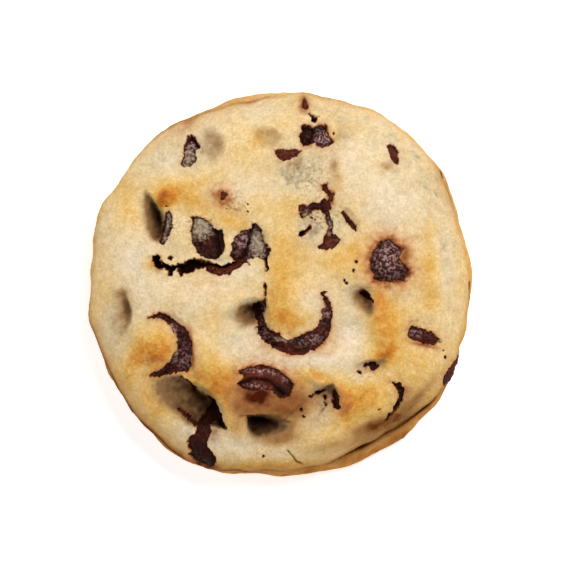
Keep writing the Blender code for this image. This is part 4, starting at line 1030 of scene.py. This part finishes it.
# Chocolate smeared over or under thin dough.
SMEARED = (
    (-4.2, -20.4, 3.6, 2.7, -12, 1.15),  # chocolate under thin dough below the bottom chip
    (2.0, -21.0, 2.6, 2.2, -35, 0.6),  # its right end
    (22.4, 4.9, 1.1, 1.9, -15, 0.6),  # right of the round chip
    (9.1, 15.3, 0.6, 1.3, 0, 0.7),  # lower half of the crack chip
    (-10.9, 15.5, 1.6, 1.2, -20, 0.35),  # round the pink speck
    (-16.0, -12.4, 0.5, 3.6, 5, 0.75),  # right edge of the left crescent
    (26.0, -11.3, 2.4, 0.4, -12, 0.6),  # lower edge of the right chip
    (22.9, -20.0, 0.9, 1.3, 20, 0.45),  # right of the lower crescent
    (4.2, 32.2, 0.9, 1.6, 0, 0.6),  # top edge chip
    (9.7, 21.2, 0.7, 1.3, -20, 0.25),  # lip of the grey valley
    (10.4, 18.8, 0.5, 1.3, 20, 0.2),  # its lower end
    (19.3, 20.9, 1.6, 1.2, 0, 0.22),  # below the upper right chip
    (-28.8, -1.7, 1.1, 0.8, 0, 0.35),  # lip of the far left dimple
    (-13.8, -33.2, 3.4, 0.9, -16, 1.0),  # rim under the bare chip
    (-16.8, 29.2, 1.8, 0.9, 35, 0.35),  # upper left edge
)
# Fine dark crumbs.
SPECKLED = (
    (-14.2, 9.9, 2.6, 2.4, 0, 0.9),  # film on the left chip
    (-4.2, 7.4, 1.6, 2.6, 0, 0.6),  # beside its neighbour
    (4.5, 19.5, 4.0, 4.0, -30, 0.45),  # grey valley
    (7.2, 12.2, 4.0, 3.2, 0, 0.55),  # round the broken ring
    (-9.0, 14.8, 4.2, 1.8, -25, 0.6),  # by the pink chip
    (7.0, -22.2, 3.4, 3.2, 0, 0.45),  # lower dimple
    (-1.5, -27.8, 4.0, 1.6, 0, 0.4),  # under the dark hollow
    (15.5, -16.0, 2.6, 1.4, 10, 0.5),  # dimple
    (-19.5, 10.0, 1.2, 3.0, -8, 0.4),  # left sliver
    (25.2, -7.6, 3.0, 0.9, -20, 0.5),  # over the right chip
    (-22.5, -13.0, 3.0, 4.0, 0, 0.25),  # left dome
    (-15.0, -24.4, 3.0, 2.4, -40, 0.3),  # rim slope
)

# %% Lay the tints on the dough
# How browned the plain dough is, what a millimetre of height adds over the mean height, and the rim and side.
# The rim's share is browning together with painted shade where the light falls off at the edge.
BASE_BAKE = 0.36
HEIGHT_BAKE = 0.07
MEAN_HEIGHT = 0.8
RIM_BROWN_AND_SHADE = 0.12
SIDE_BAKE = 0.1
PLEAT_BAKE = 0.05
# Shares of the tables of tints.
BROWN_SHARE = 0.75
STAIN_SHARE = 0.4
DARK_SHARE = 0.3
RIM_BASE = 0.1
# Where the foot is browned over its plain tint: angle, half width, share.
FOOT_BROWNED = ((318, 28, 0.85), (272, 34, 0.5))


def soft_ovals(x, y, table):
    """Sum of soft ovals."""
    total = np.zeros_like(x)
    for place_x, place_y, half_long, half_wide, turn, strength in table:
        u, v = turned(x, y, place_x, place_y, half_long, half_wide, turn)
        total += strength * np.exp(-1.2 * (u * u + v * v))
    return total


def add_tint(obj, name, values):
    """Stores one number for each vertex, for the materials to read."""
    attribute = obj.data.attributes.new(name, "FLOAT", "POINT")
    attribute.data.foreach_set("value", np.clip(values, 0, 1).astype(np.float32))


def padded(values, end=0.0):
    """The same numbers, with one value for each point that closes the underside."""
    return np.concatenate([values, np.full(len(crust.data.vertices) - len(values), end)])


x, y, z = get_points(crust).T
s = padded(s, 4.0)
high = landscape(x, y)
side = smooth((s - 0.75) / 0.5)
angle = np.arctan2(y, x)
# On the side the patches follow the wall: angle and height in place of x and y.
along_wall, up_wall = x + side * (angle * RADIUS - x), y + side * (z - y)
patchy = 1 + 0.5 * waves(along_wall, up_wall, 2.4, 77) + 0.3 * waves(along_wall, up_wall, 1.0, 78)
bake = BASE_BAKE + HEIGHT_BAKE * (high - MEAN_HEIGHT)
bake += BROWN_SHARE * soft_ovals(x, y, BROWNED) * (0.7 + 0.3 * patchy) - soft_ovals(x, y, PALE)
# Browning and painted shade at the rim, stronger on the lower half, which the light reaches less.
rim = smooth((s - 0.66) / 0.5) * (0.55 + 0.45 * np.clip(-np.sin(angle - 0.5), -1, 1))
add_tint(crust, "bake", bake + SIDE_BAKE * side + RIM_BROWN_AND_SHADE * rim + PLEAT_BAKE * pleats(x, y))
foot_share = (0.15 + 0.7 * around(angle, FOOT_BROWNED)) * (0.7 + 0.3 * patchy)
add_tint(crust, "foot", smooth((5.2 + 0.8 * waves(x, y, 5, 91) - z) / 3.0) * foot_share)
# The crease over the foot is painted dark brown: its browning and the shade that falls in it.
crease_band = smooth((s - 1.05) / 0.25) * (1 - smooth((s - 2.08) / 0.25))
add_tint(crust, "crease", 1.1 * crease_band * around(angle, CREASED))
# The rim tint is browning of the rim together with painted shade where the light falls off at the edge,
# strongest at the lower left.
browned_and_shaded_here = np.clip(RIM_BASE + around(angle, RIM_BROWNED_AND_SHADED), 0, 1)
rim_line = (0.12 + 0.6 * browned_and_shaded_here) * smooth((s - 0.84) / 0.12)
rim_tint = 0.75 * browned_and_shaded_here * smooth((s - 0.6) / 0.34) + rim_line
rim_tint *= 1 - 0.3 * smooth((s - 1.05) / 0.6)
rim_tint += soft_ovals(x, y, ROLLED) * (0.8 + 0.2 * patchy) * (1 - smooth((s - 1.0) / 0.3))
add_tint(crust, "rim", rim_tint * (0.6 + 0.4 * patchy * side + 0.4 * (1 - side)))
grey = soft_ovals(x, y, GREYED) * (1 - side) * (0.5 + 0.5 * patchy)
# The valleys of the pleats are painted grey, as the shade in them.
add_tint(crust, "grey", grey - 0.4 * np.clip(pleats(x, y), -1, 0))
stain = STAIN_SHARE * soft_ovals(x, y, STAINED) * patchy
add_tint(crust, "stain", stain + padded(stain_of_cut) * (0.8 + 0.2 * patchy))
add_tint(crust, "smear", soft_ovals(x, y, SMEARED) * (0.65 + 0.35 * patchy))
add_tint(crust, "shade", (DARK_SHARE * soft_ovals(x, y, DARKENED) + folds(x, y)[1]) * (0.85 + 0.15 * patchy))
# Cracks and the floors of the openings are painted dark, and the depth tint takes them near to black: painted
# shade in the recesses, with chocolate at the chips' walls.
dark_crack = smooth((padded(crack_depth) - 0.35) / 0.5)
add_tint(crust, "cocoa_and_shade", smooth(padded(cocoa_and_shade) * 1.7) + dark_crack * 0.8)
add_tint(crust, "depth", smooth(padded(cocoa_and_shade) * 2 - 1) + dark_crack * 0.5)
add_tint(crust, "speck", soft_ovals(x, y, SPECKLED))
add_tint(crust, "grain", np.where(z < 0.3, 0, 1) * (1 - smooth((s - 3.2) / 0.5)))
print("bake from", round(float(bake.min()), 2), "to", round(float(bake.max()), 2))

# %% Fine crust: soft lumps, then small grain
# Displacements along the normals: name, size of the grain and height in millimetres.
GRAINS = (("lumps", 1.9, 0.20), ("grain", 0.6, 0.13))

weights = np.empty(len(crust.data.vertices), np.float32)
crust.data.attributes["grain"].data.foreach_get("value", weights)
group = crust.vertex_groups.new(name="grainy")
group.add([int(i) for i in np.nonzero(weights > 0.5)[0]], 1.0, "REPLACE")
for name, size, height in GRAINS:
    texture = bpy.data.textures.new(name, "CLOUDS")
    texture.noise_scale = size * MM
    texture.noise_depth = 2
    modifier = crust.modifiers.new(name, "DISPLACE")
    modifier.texture = texture
    modifier.texture_coords = "LOCAL"
    modifier.strength = height * MM
    modifier.mid_level = 0.5
    modifier.vertex_group = "grainy"
    bpy.ops.object.modifier_apply(modifier=name)
bpy.ops.object.shade_smooth_by_angle(angle=math.radians(65))
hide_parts("dough")
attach(crust, "root")
print("grain laid on", int((weights > 0.5).sum()), "points")

# %% [markdown]
# ## Baked dough, as a material
# Baked cookie dough is flour, butter and sugar: a matt, slightly waxy crust that scatters some light
# under its skin. It goes from cream to golden to brown as its sugar browns, with a fine mottle of about a
# millimetre and pores of a few tenths. Its IOR is about 1.45, and buttery brown ridges are a little
# smoother than pale dough.

# %% Baked dough material
# Noises: feature size in millimetres, detail, and how much each moves the bake.
DOUGH_NOISES = {
    "broad": (4.5, 3, 0.26), "fine": (1.3, 4, 0.24), "speck": (0.45, 2, 0.12), "spots": (0.55, 2, 0),
}
# How much the fine noise and the specks change the lightness. Where the noise is high, the dough is browner,
# so these are less than nothing and it gets darker there.
FINE_LIGHT, SPECK_LIGHT = -0.35, -0.5
# From raw cream to deep brown.
BAKED_COLORS = (
    (0.0, "#f5e7d2"), (0.2, "#f1dcb6"), (0.4, "#eecd8e"), (0.58, "#e8b860"), (0.76, "#da8e36"),
    (1.0, "#aa5c24"),
)
# Layers over the baked colour: tint, where it starts and ends, noise, least and most of the noise's part,
# colour.
# The shade and depth layers are painted shade; the rim and crease layers are browning with painted shade, and
# the cocoa layers chocolate with painted shade.
DOUGH_LAYERS = (
    ("grey", 0.0, 0.6, "fine", 0.4, 1.1, "#dccda8"),
    ("grey", 0.5, 1.2, "fine", 0.3, 1.3, "#a89578"),
    ("speck", 0.0, 1.0, "spots", 0.0, 1.0, "#6b4424"),
    ("stain", 0.0, 0.5, "fine", 0.4, 1.2, "#cb8c5c"),
    ("stain", 0.4, 1.0, "fine", 0.4, 1.3, "#7e3822"),
    ("rim", 0.0, 0.5, "broad", 0.8, 1.15, "#c0935a"),
    ("rim", 0.45, 1.0, "broad", 0.8, 1.15, "#6c3811"),
    ("smear", 0.0, 0.45, "fine", 0.75, 1.15, "#a86e40"),
    ("smear", 0.4, 0.95, "fine", 0.85, 1.1, "#4f1d0c"),
    ("shade", 0.0, 0.4, "fine", 0.85, 1.15, "#a37e54"),
    ("shade", 0.35, 0.75, "fine", 0.85, 1.15, "#58402b"),
    ("foot", 0.0, 0.5, "broad", 0.7, 1.2, "#d2954e"),
    ("foot", 0.4, 1.0, "broad", 0.7, 1.2, "#8c4a18"),
    ("crease", 0.0, 0.45, "fine", 0.8, 1.1, "#a8652e"),
    ("crease", 0.4, 0.9, "fine", 0.8, 1.1, "#46200a"),
    ("cocoa_and_shade", 0.0, 0.5, "fine", 0.8, 1.2, "#85502f"),
    ("cocoa_and_shade", 0.45, 0.95, "fine", 0.8, 1.2, "#3a160a"),
    ("depth", 0.0, 1.0, "fine", 0.9, 1.2, "#170a05"),
    ("shade", 0.74, 1.05, "fine", 0.96, 1.06, "#1c110b"),
)
# Millimetres from pore to pore and down a pore.
PORE_SPACING, PORE_DEPTH = 0.9, 0.16
# Where each noise starts to count and where it is full.
NOISE_ENDS = {"broad": (0.25, 0.75), "fine": (0.25, 0.75), "spots": (0.50, 0.60)}


def grain_size(size):
    """Noise scale that gives features of that many millimetres."""
    return 1 / (size * MM)


def add_noises(material, place, table):
    """The outputs of a material's noises, by name."""
    outputs = {}
    for name, (size, detail, *_) in table.items():
        settings = {"Scale": grain_size(size), "Detail": detail}
        outputs[name] = add_node(material, "ShaderNodeTexNoise", {"Vector": place}, settings).outputs["Fac"]
    return outputs


def lay_over(material, color, layers, noises, ends):
    """The colour with every layer of a table laid over it, each mottled by its noise."""
    for tint, start, end, noise, least, most, hex_color in layers:
        low, high = ends[noise]
        part = add_node(
            material, "ShaderNodeMapRange", {0: noises[noise]},
            {1: low, 2: high, 3: least, 4: most}).outputs[0]
        here = add_node(material, "ShaderNodeAttribute", attribute_name=tint).outputs["Fac"]
        both = add_node(material, "ShaderNodeMath", {0: here, 1: part}, operation="MULTIPLY").outputs[0]
        share = add_node(material, "ShaderNodeMapRange", {0: both}, {1: start, 2: end}).outputs[0]
        color = add_node(
            material, "ShaderNodeMix", {0: share, 6: color}, {7: linear(hex_color)},
            data_type="RGBA").outputs[2]
    return color


def plug_in(material, shader, outputs, values):
    """Links outputs to the shader's inputs and sets the others."""
    for name, output in outputs.items():
        material.node_tree.links.new(output, shader.inputs[name])
    for name, value in values.items():
        shader.inputs[name].default_value = value


dough, dough_shader = new_material("baked_butter_dough")
place = add_node(dough, "ShaderNodeTexCoord").outputs["Object"]
bake_value = add_node(dough, "ShaderNodeAttribute", attribute_name="bake").outputs["Fac"]
noises = add_noises(dough, place, DOUGH_NOISES)
for name, (_, _, strength) in DOUGH_NOISES.items():
    off = add_node(dough, "ShaderNodeMath", {0: noises[name]}, {1: 0.5}, operation="SUBTRACT").outputs[0]
    bake_value = add_node(
        dough, "ShaderNodeMath", {0: off, 2: bake_value}, {1: strength}, operation="MULTIPLY_ADD").outputs[0]
crust_ramp = add_node(dough, "ShaderNodeValToRGB", {"Fac": bake_value})
set_ramp(crust_ramp, BAKED_COLORS)
color = lay_over(dough, crust_ramp.outputs["Color"], DOUGH_LAYERS, noises, NOISE_ENDS)
light_value = add_node(
    dough, "ShaderNodeMath", {0: noises["fine"]}, {1: FINE_LIGHT, 2: 1 - (FINE_LIGHT + SPECK_LIGHT) / 2},
    operation="MULTIPLY_ADD").outputs[0]
light_value = add_node(
    dough, "ShaderNodeMath", {0: noises["speck"], 2: light_value}, {1: SPECK_LIGHT},
    operation="MULTIPLY_ADD").outputs[0]
color = add_node(dough, "ShaderNodeHueSaturation", {"Color": color, "Value": light_value}).outputs["Color"]
rough = add_node(
    dough, "ShaderNodeMath", {0: bake_value}, {1: -0.25, 2: 0.78}, operation="MULTIPLY_ADD").outputs[0]
pores = add_node(
    dough, "ShaderNodeTexVoronoi", {"Vector": place}, {"Scale": grain_size(PORE_SPACING)}).outputs["Distance"]
pits = add_node(dough, "ShaderNodeMath", {0: pores}, {1: 0.45}, operation="MINIMUM").outputs[0]
relief = add_node(
    dough, "ShaderNodeMath", {0: pits, 2: noises["speck"]}, {1: 0.6}, operation="MULTIPLY_ADD").outputs[0]
bump = add_node(
    dough, "ShaderNodeBump", {"Height": relief}, {"Strength": 0.9, "Distance": PORE_DEPTH * MM})
plug_in(
    dough, dough_shader, {"Base Color": color, "Roughness": rough, "Normal": bump.outputs["Normal"]},
    {"IOR": 1.45, "Specular IOR Level": 0.0, "Subsurface Weight": 0.1,
     "Subsurface Radius": (1.0, 0.55, 0.3), "Subsurface Scale": 0.8 * MM})
crust.data.materials.clear()
crust.data.materials.append(dough)
print("dough material nodes:", len(dough.node_tree.nodes))

# %% [markdown]
# ## The chips
# A chocolate chip softens in the oven, fills its hole in the crust and sets again with a wrinkled face.
# Each visible face starts as a grid over its opening. What lies outside the outline is deleted,
# Shrinkwrap drops the rest on the smooth skin, its vertices sink or swell by the chip's own relief, and
# Solidify gives it a body that reaches down into the dough.

# %% Lay a chip's face in its opening
# Step of the grid, how far a chip reaches under the edge of its opening, the margin of the grid beyond that,
# and the height from which it is dropped.
GRID_STEP = 0.15
TUCK = 0.5
MARGIN = 0.3
CLEAR = 60.0


def delete_points(obj, doomed):
    """Deletes the chosen vertices in edit mode."""
    for kind in (obj.data.polygons, obj.data.edges):
        kind.foreach_set("select", np.zeros(len(kind), bool))
    obj.data.vertices.foreach_set("select", doomed)
    bpy.ops.object.mode_set(mode="EDIT")
    bpy.ops.mesh.delete(type="VERT")
    bpy.ops.object.mode_set(mode="OBJECT")


def chip_face(name, outline, middle, ways):
    """A fine grid, cut to an outline a little wider than the opening and dropped on the smooth skin."""
    corners = np.array(outline)
    low, high = corners.min(axis=0) - TUCK - MARGIN, corners.max(axis=0) + TUCK + MARGIN
    counts = np.ceil((high - low) / GRID_STEP).astype(int)
    bpy.ops.object.select_all(action="DESELECT")
    bpy.ops.mesh.primitive_grid_add(x_subdivisions=int(counts[0]), y_subdivisions=int(counts[1]), size=1)
    chip = bpy.context.object
    chip.name = name + "_skin"
    u, v = ((local_points(chip)[:, :2] * MM + 0.5) * (high - low) + low).T
    d = inside_distance(u, v, outline)
    points = np.stack([u, v, np.full_like(u, CLEAR)], axis=1)
    chip.data.vertices.foreach_set("co", (points * MM).ravel())
    delete_points(chip, d < -TUCK)
    bpy.ops.object.mode_set(mode="EDIT")
    bpy.ops.mesh.select_all(action="DESELECT")
    bpy.ops.mesh.select_non_manifold()
    bpy.ops.mesh.vertices_smooth(factor=0.5, repeat=2)
    bpy.ops.object.mode_set(mode="OBJECT")
    turn = Matrix(ways.T.tolist()).to_4x4()
    turn.translation = (middle + shift) * MM
    chip.matrix_world = turn
    wrap = chip.modifiers.new("wrap", "SHRINKWRAP")
    wrap.target = bare_skin
    wrap.wrap_method = "PROJECT"
    wrap.use_project_z = True
    wrap.use_positive_direction = False
    wrap.use_negative_direction = True
    bpy.ops.object.modifier_apply(modifier="wrap")
    delete_points(chip, local_points(chip)[:, 2] > CLEAR - 1)
    return chip


# %% Relief and body of the chips
# Thickness of a chip's body, width over which its face rises, and heights of its wrinkles and lumps.
BODY = 1.5
SWELL_WIDTH = 1.3
RIDGE_HEIGHT, LUMP_HEIGHT = 0.24, 0.14
# Grooves in the chips: name, half width, depth, and the places they run through.
GROOVES = (
    ("chip_bottom", 0.6, 0.5,
        ((-7.4, -18.3), (-5.2, -17.3), (-3.4, -17.4), (-2, -17.8), (-0.9, -18.9), (0.5, -20))),
    ("chip_top", 0.6, 0.5, ((5.6, 28.8), (5.8, 27.2), (5.2, 25.2))),
    ("chip_top", 0.5, 0.4, ((4, 27.9), (5.8, 27.9), (8.4, 28))),
    ("chip_upper_left", 0.6, 0.5, ((-16.4, 26.8), (-15.5, 25.6), (-14.4, 24.1))),
    ("chip_left", 0.5, 0.4, ((-12, 10.3), (-11.6, 8.5), (-11.2, 6.5), (-11.7, 4.7))),
    ("chip_left_neighbour", 0.5, 0.4, ((-5.2, 9.7), (-5.6, 7.6), (-6.3, 5.6), (-7.2, 4.4))),
)


def grooves(name, u, v):
    """Depth of the grooves in one chip, and the painted shade in them."""
    low, dark = np.zeros_like(u), np.zeros_like(u)
    for owner, half, depth, path in GROOVES:
        if owner == name:
            share = smooth(1 - to_path(u, v, path) / (half * (1 + 0.4 * waves(u, v, 1.4, 71))))
            low = np.maximum(low, depth * share)
            dark = np.maximum(dark, share)
    return low, dark


def ridged(u, v, size, seed):
    """Thin ridges that wind about, from 0 to 1."""
    bend = 0.35 * size * waves(u, v, 2.2 * size, seed + 1)
    return (1 - np.clip(np.abs(waves(u + bend, v - bend, size, seed)) * 1.7, 0, 1)) ** 1.4


def shaped_chip(name, sink, rise, outline, middle, ways, seed):
    """A chip whose face fills its opening and whose body reaches down into the dough."""
    chip = chip_face(name, outline, middle, ways)
    u, v, _ = local_points(chip).T
    d = inside_distance(u, v, outline)
    inner = smooth((d + 0.25) / 0.6)
    ridges = np.maximum(ridged(u, v, 1.1, seed), 0.8 * ridged(u, v, 0.7, seed + 7))
    height = -sink - 0.25 * smooth(-d / TUCK) + rise * smooth(d / SWELL_WIDTH)
    height += inner * (RIDGE_HEIGHT * ridges + LUMP_HEIGHT * waves(u, v, 2.4, seed + 5))
    low, dark = grooves(name, u, v)
    height -= inner * low
    bpy.ops.object.transform_apply(location=True, rotation=True, scale=False)
    chip.data.update()
    points = get_points(chip) + height[:, None] * get_normals(chip)
    set_points(chip, points)
    # The ridges of the wrinkles get painted highlights in pinkish grey.
    add_tint(chip, "ridge", ridges * inner)
    add_tint(chip, "edge", 1 - smooth((d + 0.05) / 0.45))
    # painted shade in the grooves
    add_tint(chip, "groove", dark)
    body = chip.modifiers.new("body", "SOLIDIFY")
    body.thickness = BODY * MM
    body.offset = -1
    bpy.ops.object.modifier_apply(modifier="body")
    bpy.ops.object.shade_smooth_by_angle(angle=math.radians(60))
    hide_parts(name)
    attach(chip, "root")
    return chip


chips = {}
for number, (name, _, sink, rise, _, _, outline, (middle, ways)) in enumerate(all_openings):
    if name:
        chips[name] = shaped_chip(name, sink, rise, outline, middle, ways, 100 + 10 * number)
bpy.data.objects.remove(bare_skin)
print(len(chips), "chips,", sum(len(chip.data.polygons) for chip in chips.values()), "faces")

# %% [markdown]
# ## Dark chocolate, as a material
# Chocolate that has melted and set again is dark brown, half glossy, IOR about 1.5. Its sugar and cocoa
# butter bloom to a greyish purple, and the same pale colour on its ridges and facets is a painted highlight.
# Its thin edges look red-brown, crumbs and a film of dough cling to some chips, and chocolate in deep shade
# and in the grooves is painted darker as shade.

# %% Tints of the chips: x, y, half length, half width, turn, strength
# A film and crumbs of dough on the chocolate.
FILMED = (
    (-14.3, 10.2, 2.3, 2.5, 0, 1.2),
    (-4.2, 6.8, 1.3, 3.2, 10, 1.1),
    (-16.6, 22.9, 1.2, 2.4, -8, 0.75),
    (-20.6, 10.0, 0.8, 2.6, -10, 0.75),
    (0.4, -10.2, 1.8, 0.6, -10, 0.8),
    (-19.6, -8.6, 0.7, 1.6, 20, 0.8),
    (-18.9, -13.4, 0.6, 1.6, -20, 0.5),
    (-7.2, -6.3, 2.2, 1.2, 20, 0.55),
    (8.9, 10.8, 1.0, 1.2, 0, 0.6),
    (4.6, 12.4, 1.4, 0.8, 0, 0.6),
)
# Greyish purple bloom, and painted highlights on the chips' tops and facets.
BLOOM_AND_HIGHLIGHT = (
    (7.6, 26.2, 1.4, 1.3, 0, 1.6),
    (-16.7, 22.9, 1.3, 2.6, -8, 1.0),
    (19.3, 4.5, 3.2, 3.2, 0, 0.8),
    (-3.4, -16.0, 3.0, 0.5, -6, 1.0),
    (-4.4, -18.6, 2.2, 0.4, -8, 0.9),
    (0.8, -17.4, 0.7, 0.5, 0, 0.8),
    (8.1, -5.5, 0.8, 1.2, 0, 0.8),
    (5.4, -10.4, 2.2, 0.8, 20, 0.8),
    (24.5, -9.0, 1.1, 0.8, 0, 0.8),
    (-19.5, -9.0, 0.8, 1.6, 0, 0.7),
    (-17.2, -13.5, 1.4, 2.6, 0, 0.4),
    (9.4, 9.2, 1.2, 1.1, 0, 0.8),
    (-3.2, -4.7, 0.5, 0.7, 0, 0.9),
    (-20.6, 9.8, 0.7, 2.6, -10, 0.7),
    (-7.2, 7.4, 1.4, 2.0, 0, 0.8),
    (-4.2, 6.8, 1.3, 3.2, 10, 1.4),
    (-2.9, -8.6, 1.0, 1.4, 30, 0.6),
)
# Thin red-brown chocolate.
REDDENED = (
    (-3.4, -18.4, 4.6, 3.4, 0, 0.6),
    (1.1, 23.1, 3.0, 1.6, 0, 0.7),
    (20.5, 23.0, 1.6, 2.4, 0, 0.6),
    (8.6, 7.0, 2.2, 1.0, 0, 0.8),
    (-10.3, 15.8, 1.8, 1.4, 0, 0.8),
    (-10.0, 2.4, 4.0, 1.3, 0, 0.9),
    (9.2, 15.2, 1.0, 1.6, 0, 1.0),
    (2.7, -12.9, 7.0, 0.8, 0, 0.6),
    (4.3, 32.4, 1.2, 1.8, 0, 0.7),
    (25.6, -10.6, 3.0, 0.7, -24, 0.6),
    (-4.6, -16.6, 2.4, 0.8, 0, 0.6),
    (-14.2, -27.4, 2.0, 2.4, 0, 0.3),
    (33.0, -14.0, 4.0, 6.0, 25, 1.0),
    (-14.3, -31.4, 3.0, 3.0, 0, 0.6),
    (35.0, -2.0, 3.0, 4.0, 0, 0.6),
)
# Chocolate in deep shade.
DIMMED = (
    (-13.0, -23.3, 4.2, 3.2, -20, 1.6),
    (-10.9, 7.7, 1.0, 2.6, 0, 1.0),
    (-13.4, 5.9, 2.6, 1.8, 0, 0.5),
    (-4.2, 10.0, 1.2, 1.0, 0, 1.0),
    (-2.2, 6.0, 0.7, 1.2, 0, 1.0),
    (-7.2, 5.4, 1.8, 1.6, 0, 0.4),
    (15.4, -2.4, 1.8, 1.6, 0, 1.2),
    (-4.0, -5.2, 1.4, 2.4, 0, 1.0),
    (16.5, -15.1, 1.8, 1.0, 0, 0.7),
    (10.0, -21.2, 1.2, 2.4, 0, 0.8),
    (20.9, -21.0, 2.2, 4.6, 20, 0.7),
    (0.2, -19.2, 1.8, 1.2, 0, 0.9),
    (4.0, 26.4, 1.2, 2.2, 0, 0.7),
    (32.0, -14.0, 5.0, 8.0, 25, 0.3),
    (35.0, -2.0, 3.0, 4.0, 0, 0.5),
    (30.0, 20.0, 4.0, 4.0, 0, 0.7),
    (-14.3, -31.8, 3.4, 2.4, -20, 2.0),
    (-14.6, -28.0, 2.6, 3.4, 0, 0.5),
)

# %% Dark chocolate material
for chip in chips.values():
    places = get_points(chip)
    # Film, bloom with painted highlights, thin red chocolate, and painted deep shade, for each chip.
    for name, table in (("film", FILMED), ("bloom_and_highlight", BLOOM_AND_HIGHLIGHT), ("red", REDDENED), ("dim", DIMMED)):
        add_tint(chip, name, soft_ovals(places[:, 0], places[:, 1], table))

# Noises: feature size in millimetres and detail.
CHOCOLATE_NOISES = {"swirl": (1.5, 4), "crumbs": (0.6, 3), "spots": (0.55, 2)}
# Layers over the dark base, in the same order of values as the dough's.
# The ridge layer is a painted highlight, the bloom layer bloom and painted highlights, and the dim and groove
# layers painted shade.
CHOCOLATE_LAYERS = (
    ("red", 0.0, 1.0, "crumbs", 0.5, 1.1, "#73301d"),
    ("edge", 0.1, 1.0, "crumbs", 0.4, 0.9, "#51200f"),
    ("ridge", 0.0, 1.0, "spots", 0.0, 0.4, "#8d6463"),
    ("bloom_and_highlight", 0.0, 1.0, "spots", 0.04, 1.0, "#caa5a6"),
    ("film", 0.15, 0.7, "spots", 0.5, 1.3, "#b5a38c"),
    ("dim", 0.0, 1.0, "crumbs", 0.7, 1.0, "#210c06"),
    ("groove", 0.0, 1.0, "crumbs", 0.8, 1.1, "#170805"),
)
CHOCOLATE_ENDS = {"crumbs": (0.3, 0.7), "spots": (0.46, 0.64)}
chocolate, chocolate_shader = new_material("dark_chocolate_set_again")
place = add_node(chocolate, "ShaderNodeTexCoord").outputs["Object"]
noises = add_noises(chocolate, place, CHOCOLATE_NOISES)
base = add_node(chocolate, "ShaderNodeValToRGB", {"Fac": noises["swirl"]})
set_ramp(base, ((0.30, "#1c0805"), (0.5, "#37130b"), (0.7, "#582013")))
color = lay_over(chocolate, base.outputs["Color"], CHOCOLATE_LAYERS, noises, CHOCOLATE_ENDS)
rough = add_node(
    chocolate, "ShaderNodeMath", {0: noises["crumbs"]}, {1: 0.4, 2: 0.24},
    operation="MULTIPLY_ADD").outputs[0]
wrinkle = add_node(
    chocolate, "ShaderNodeBump", {"Height": noises["crumbs"]}, {"Strength": 0.8, "Distance": 0.22 * MM})
plug_in(
    chocolate, chocolate_shader,
    {"Base Color": color, "Roughness": rough, "Normal": wrinkle.outputs["Normal"]},
    {"IOR": 1.5, "Specular IOR Level": 0.06})
for chip in chips.values():
    chip.data.materials.clear()
    chip.data.materials.append(chocolate)
print("chocolate nodes:", len(chocolate.node_tree.nodes))
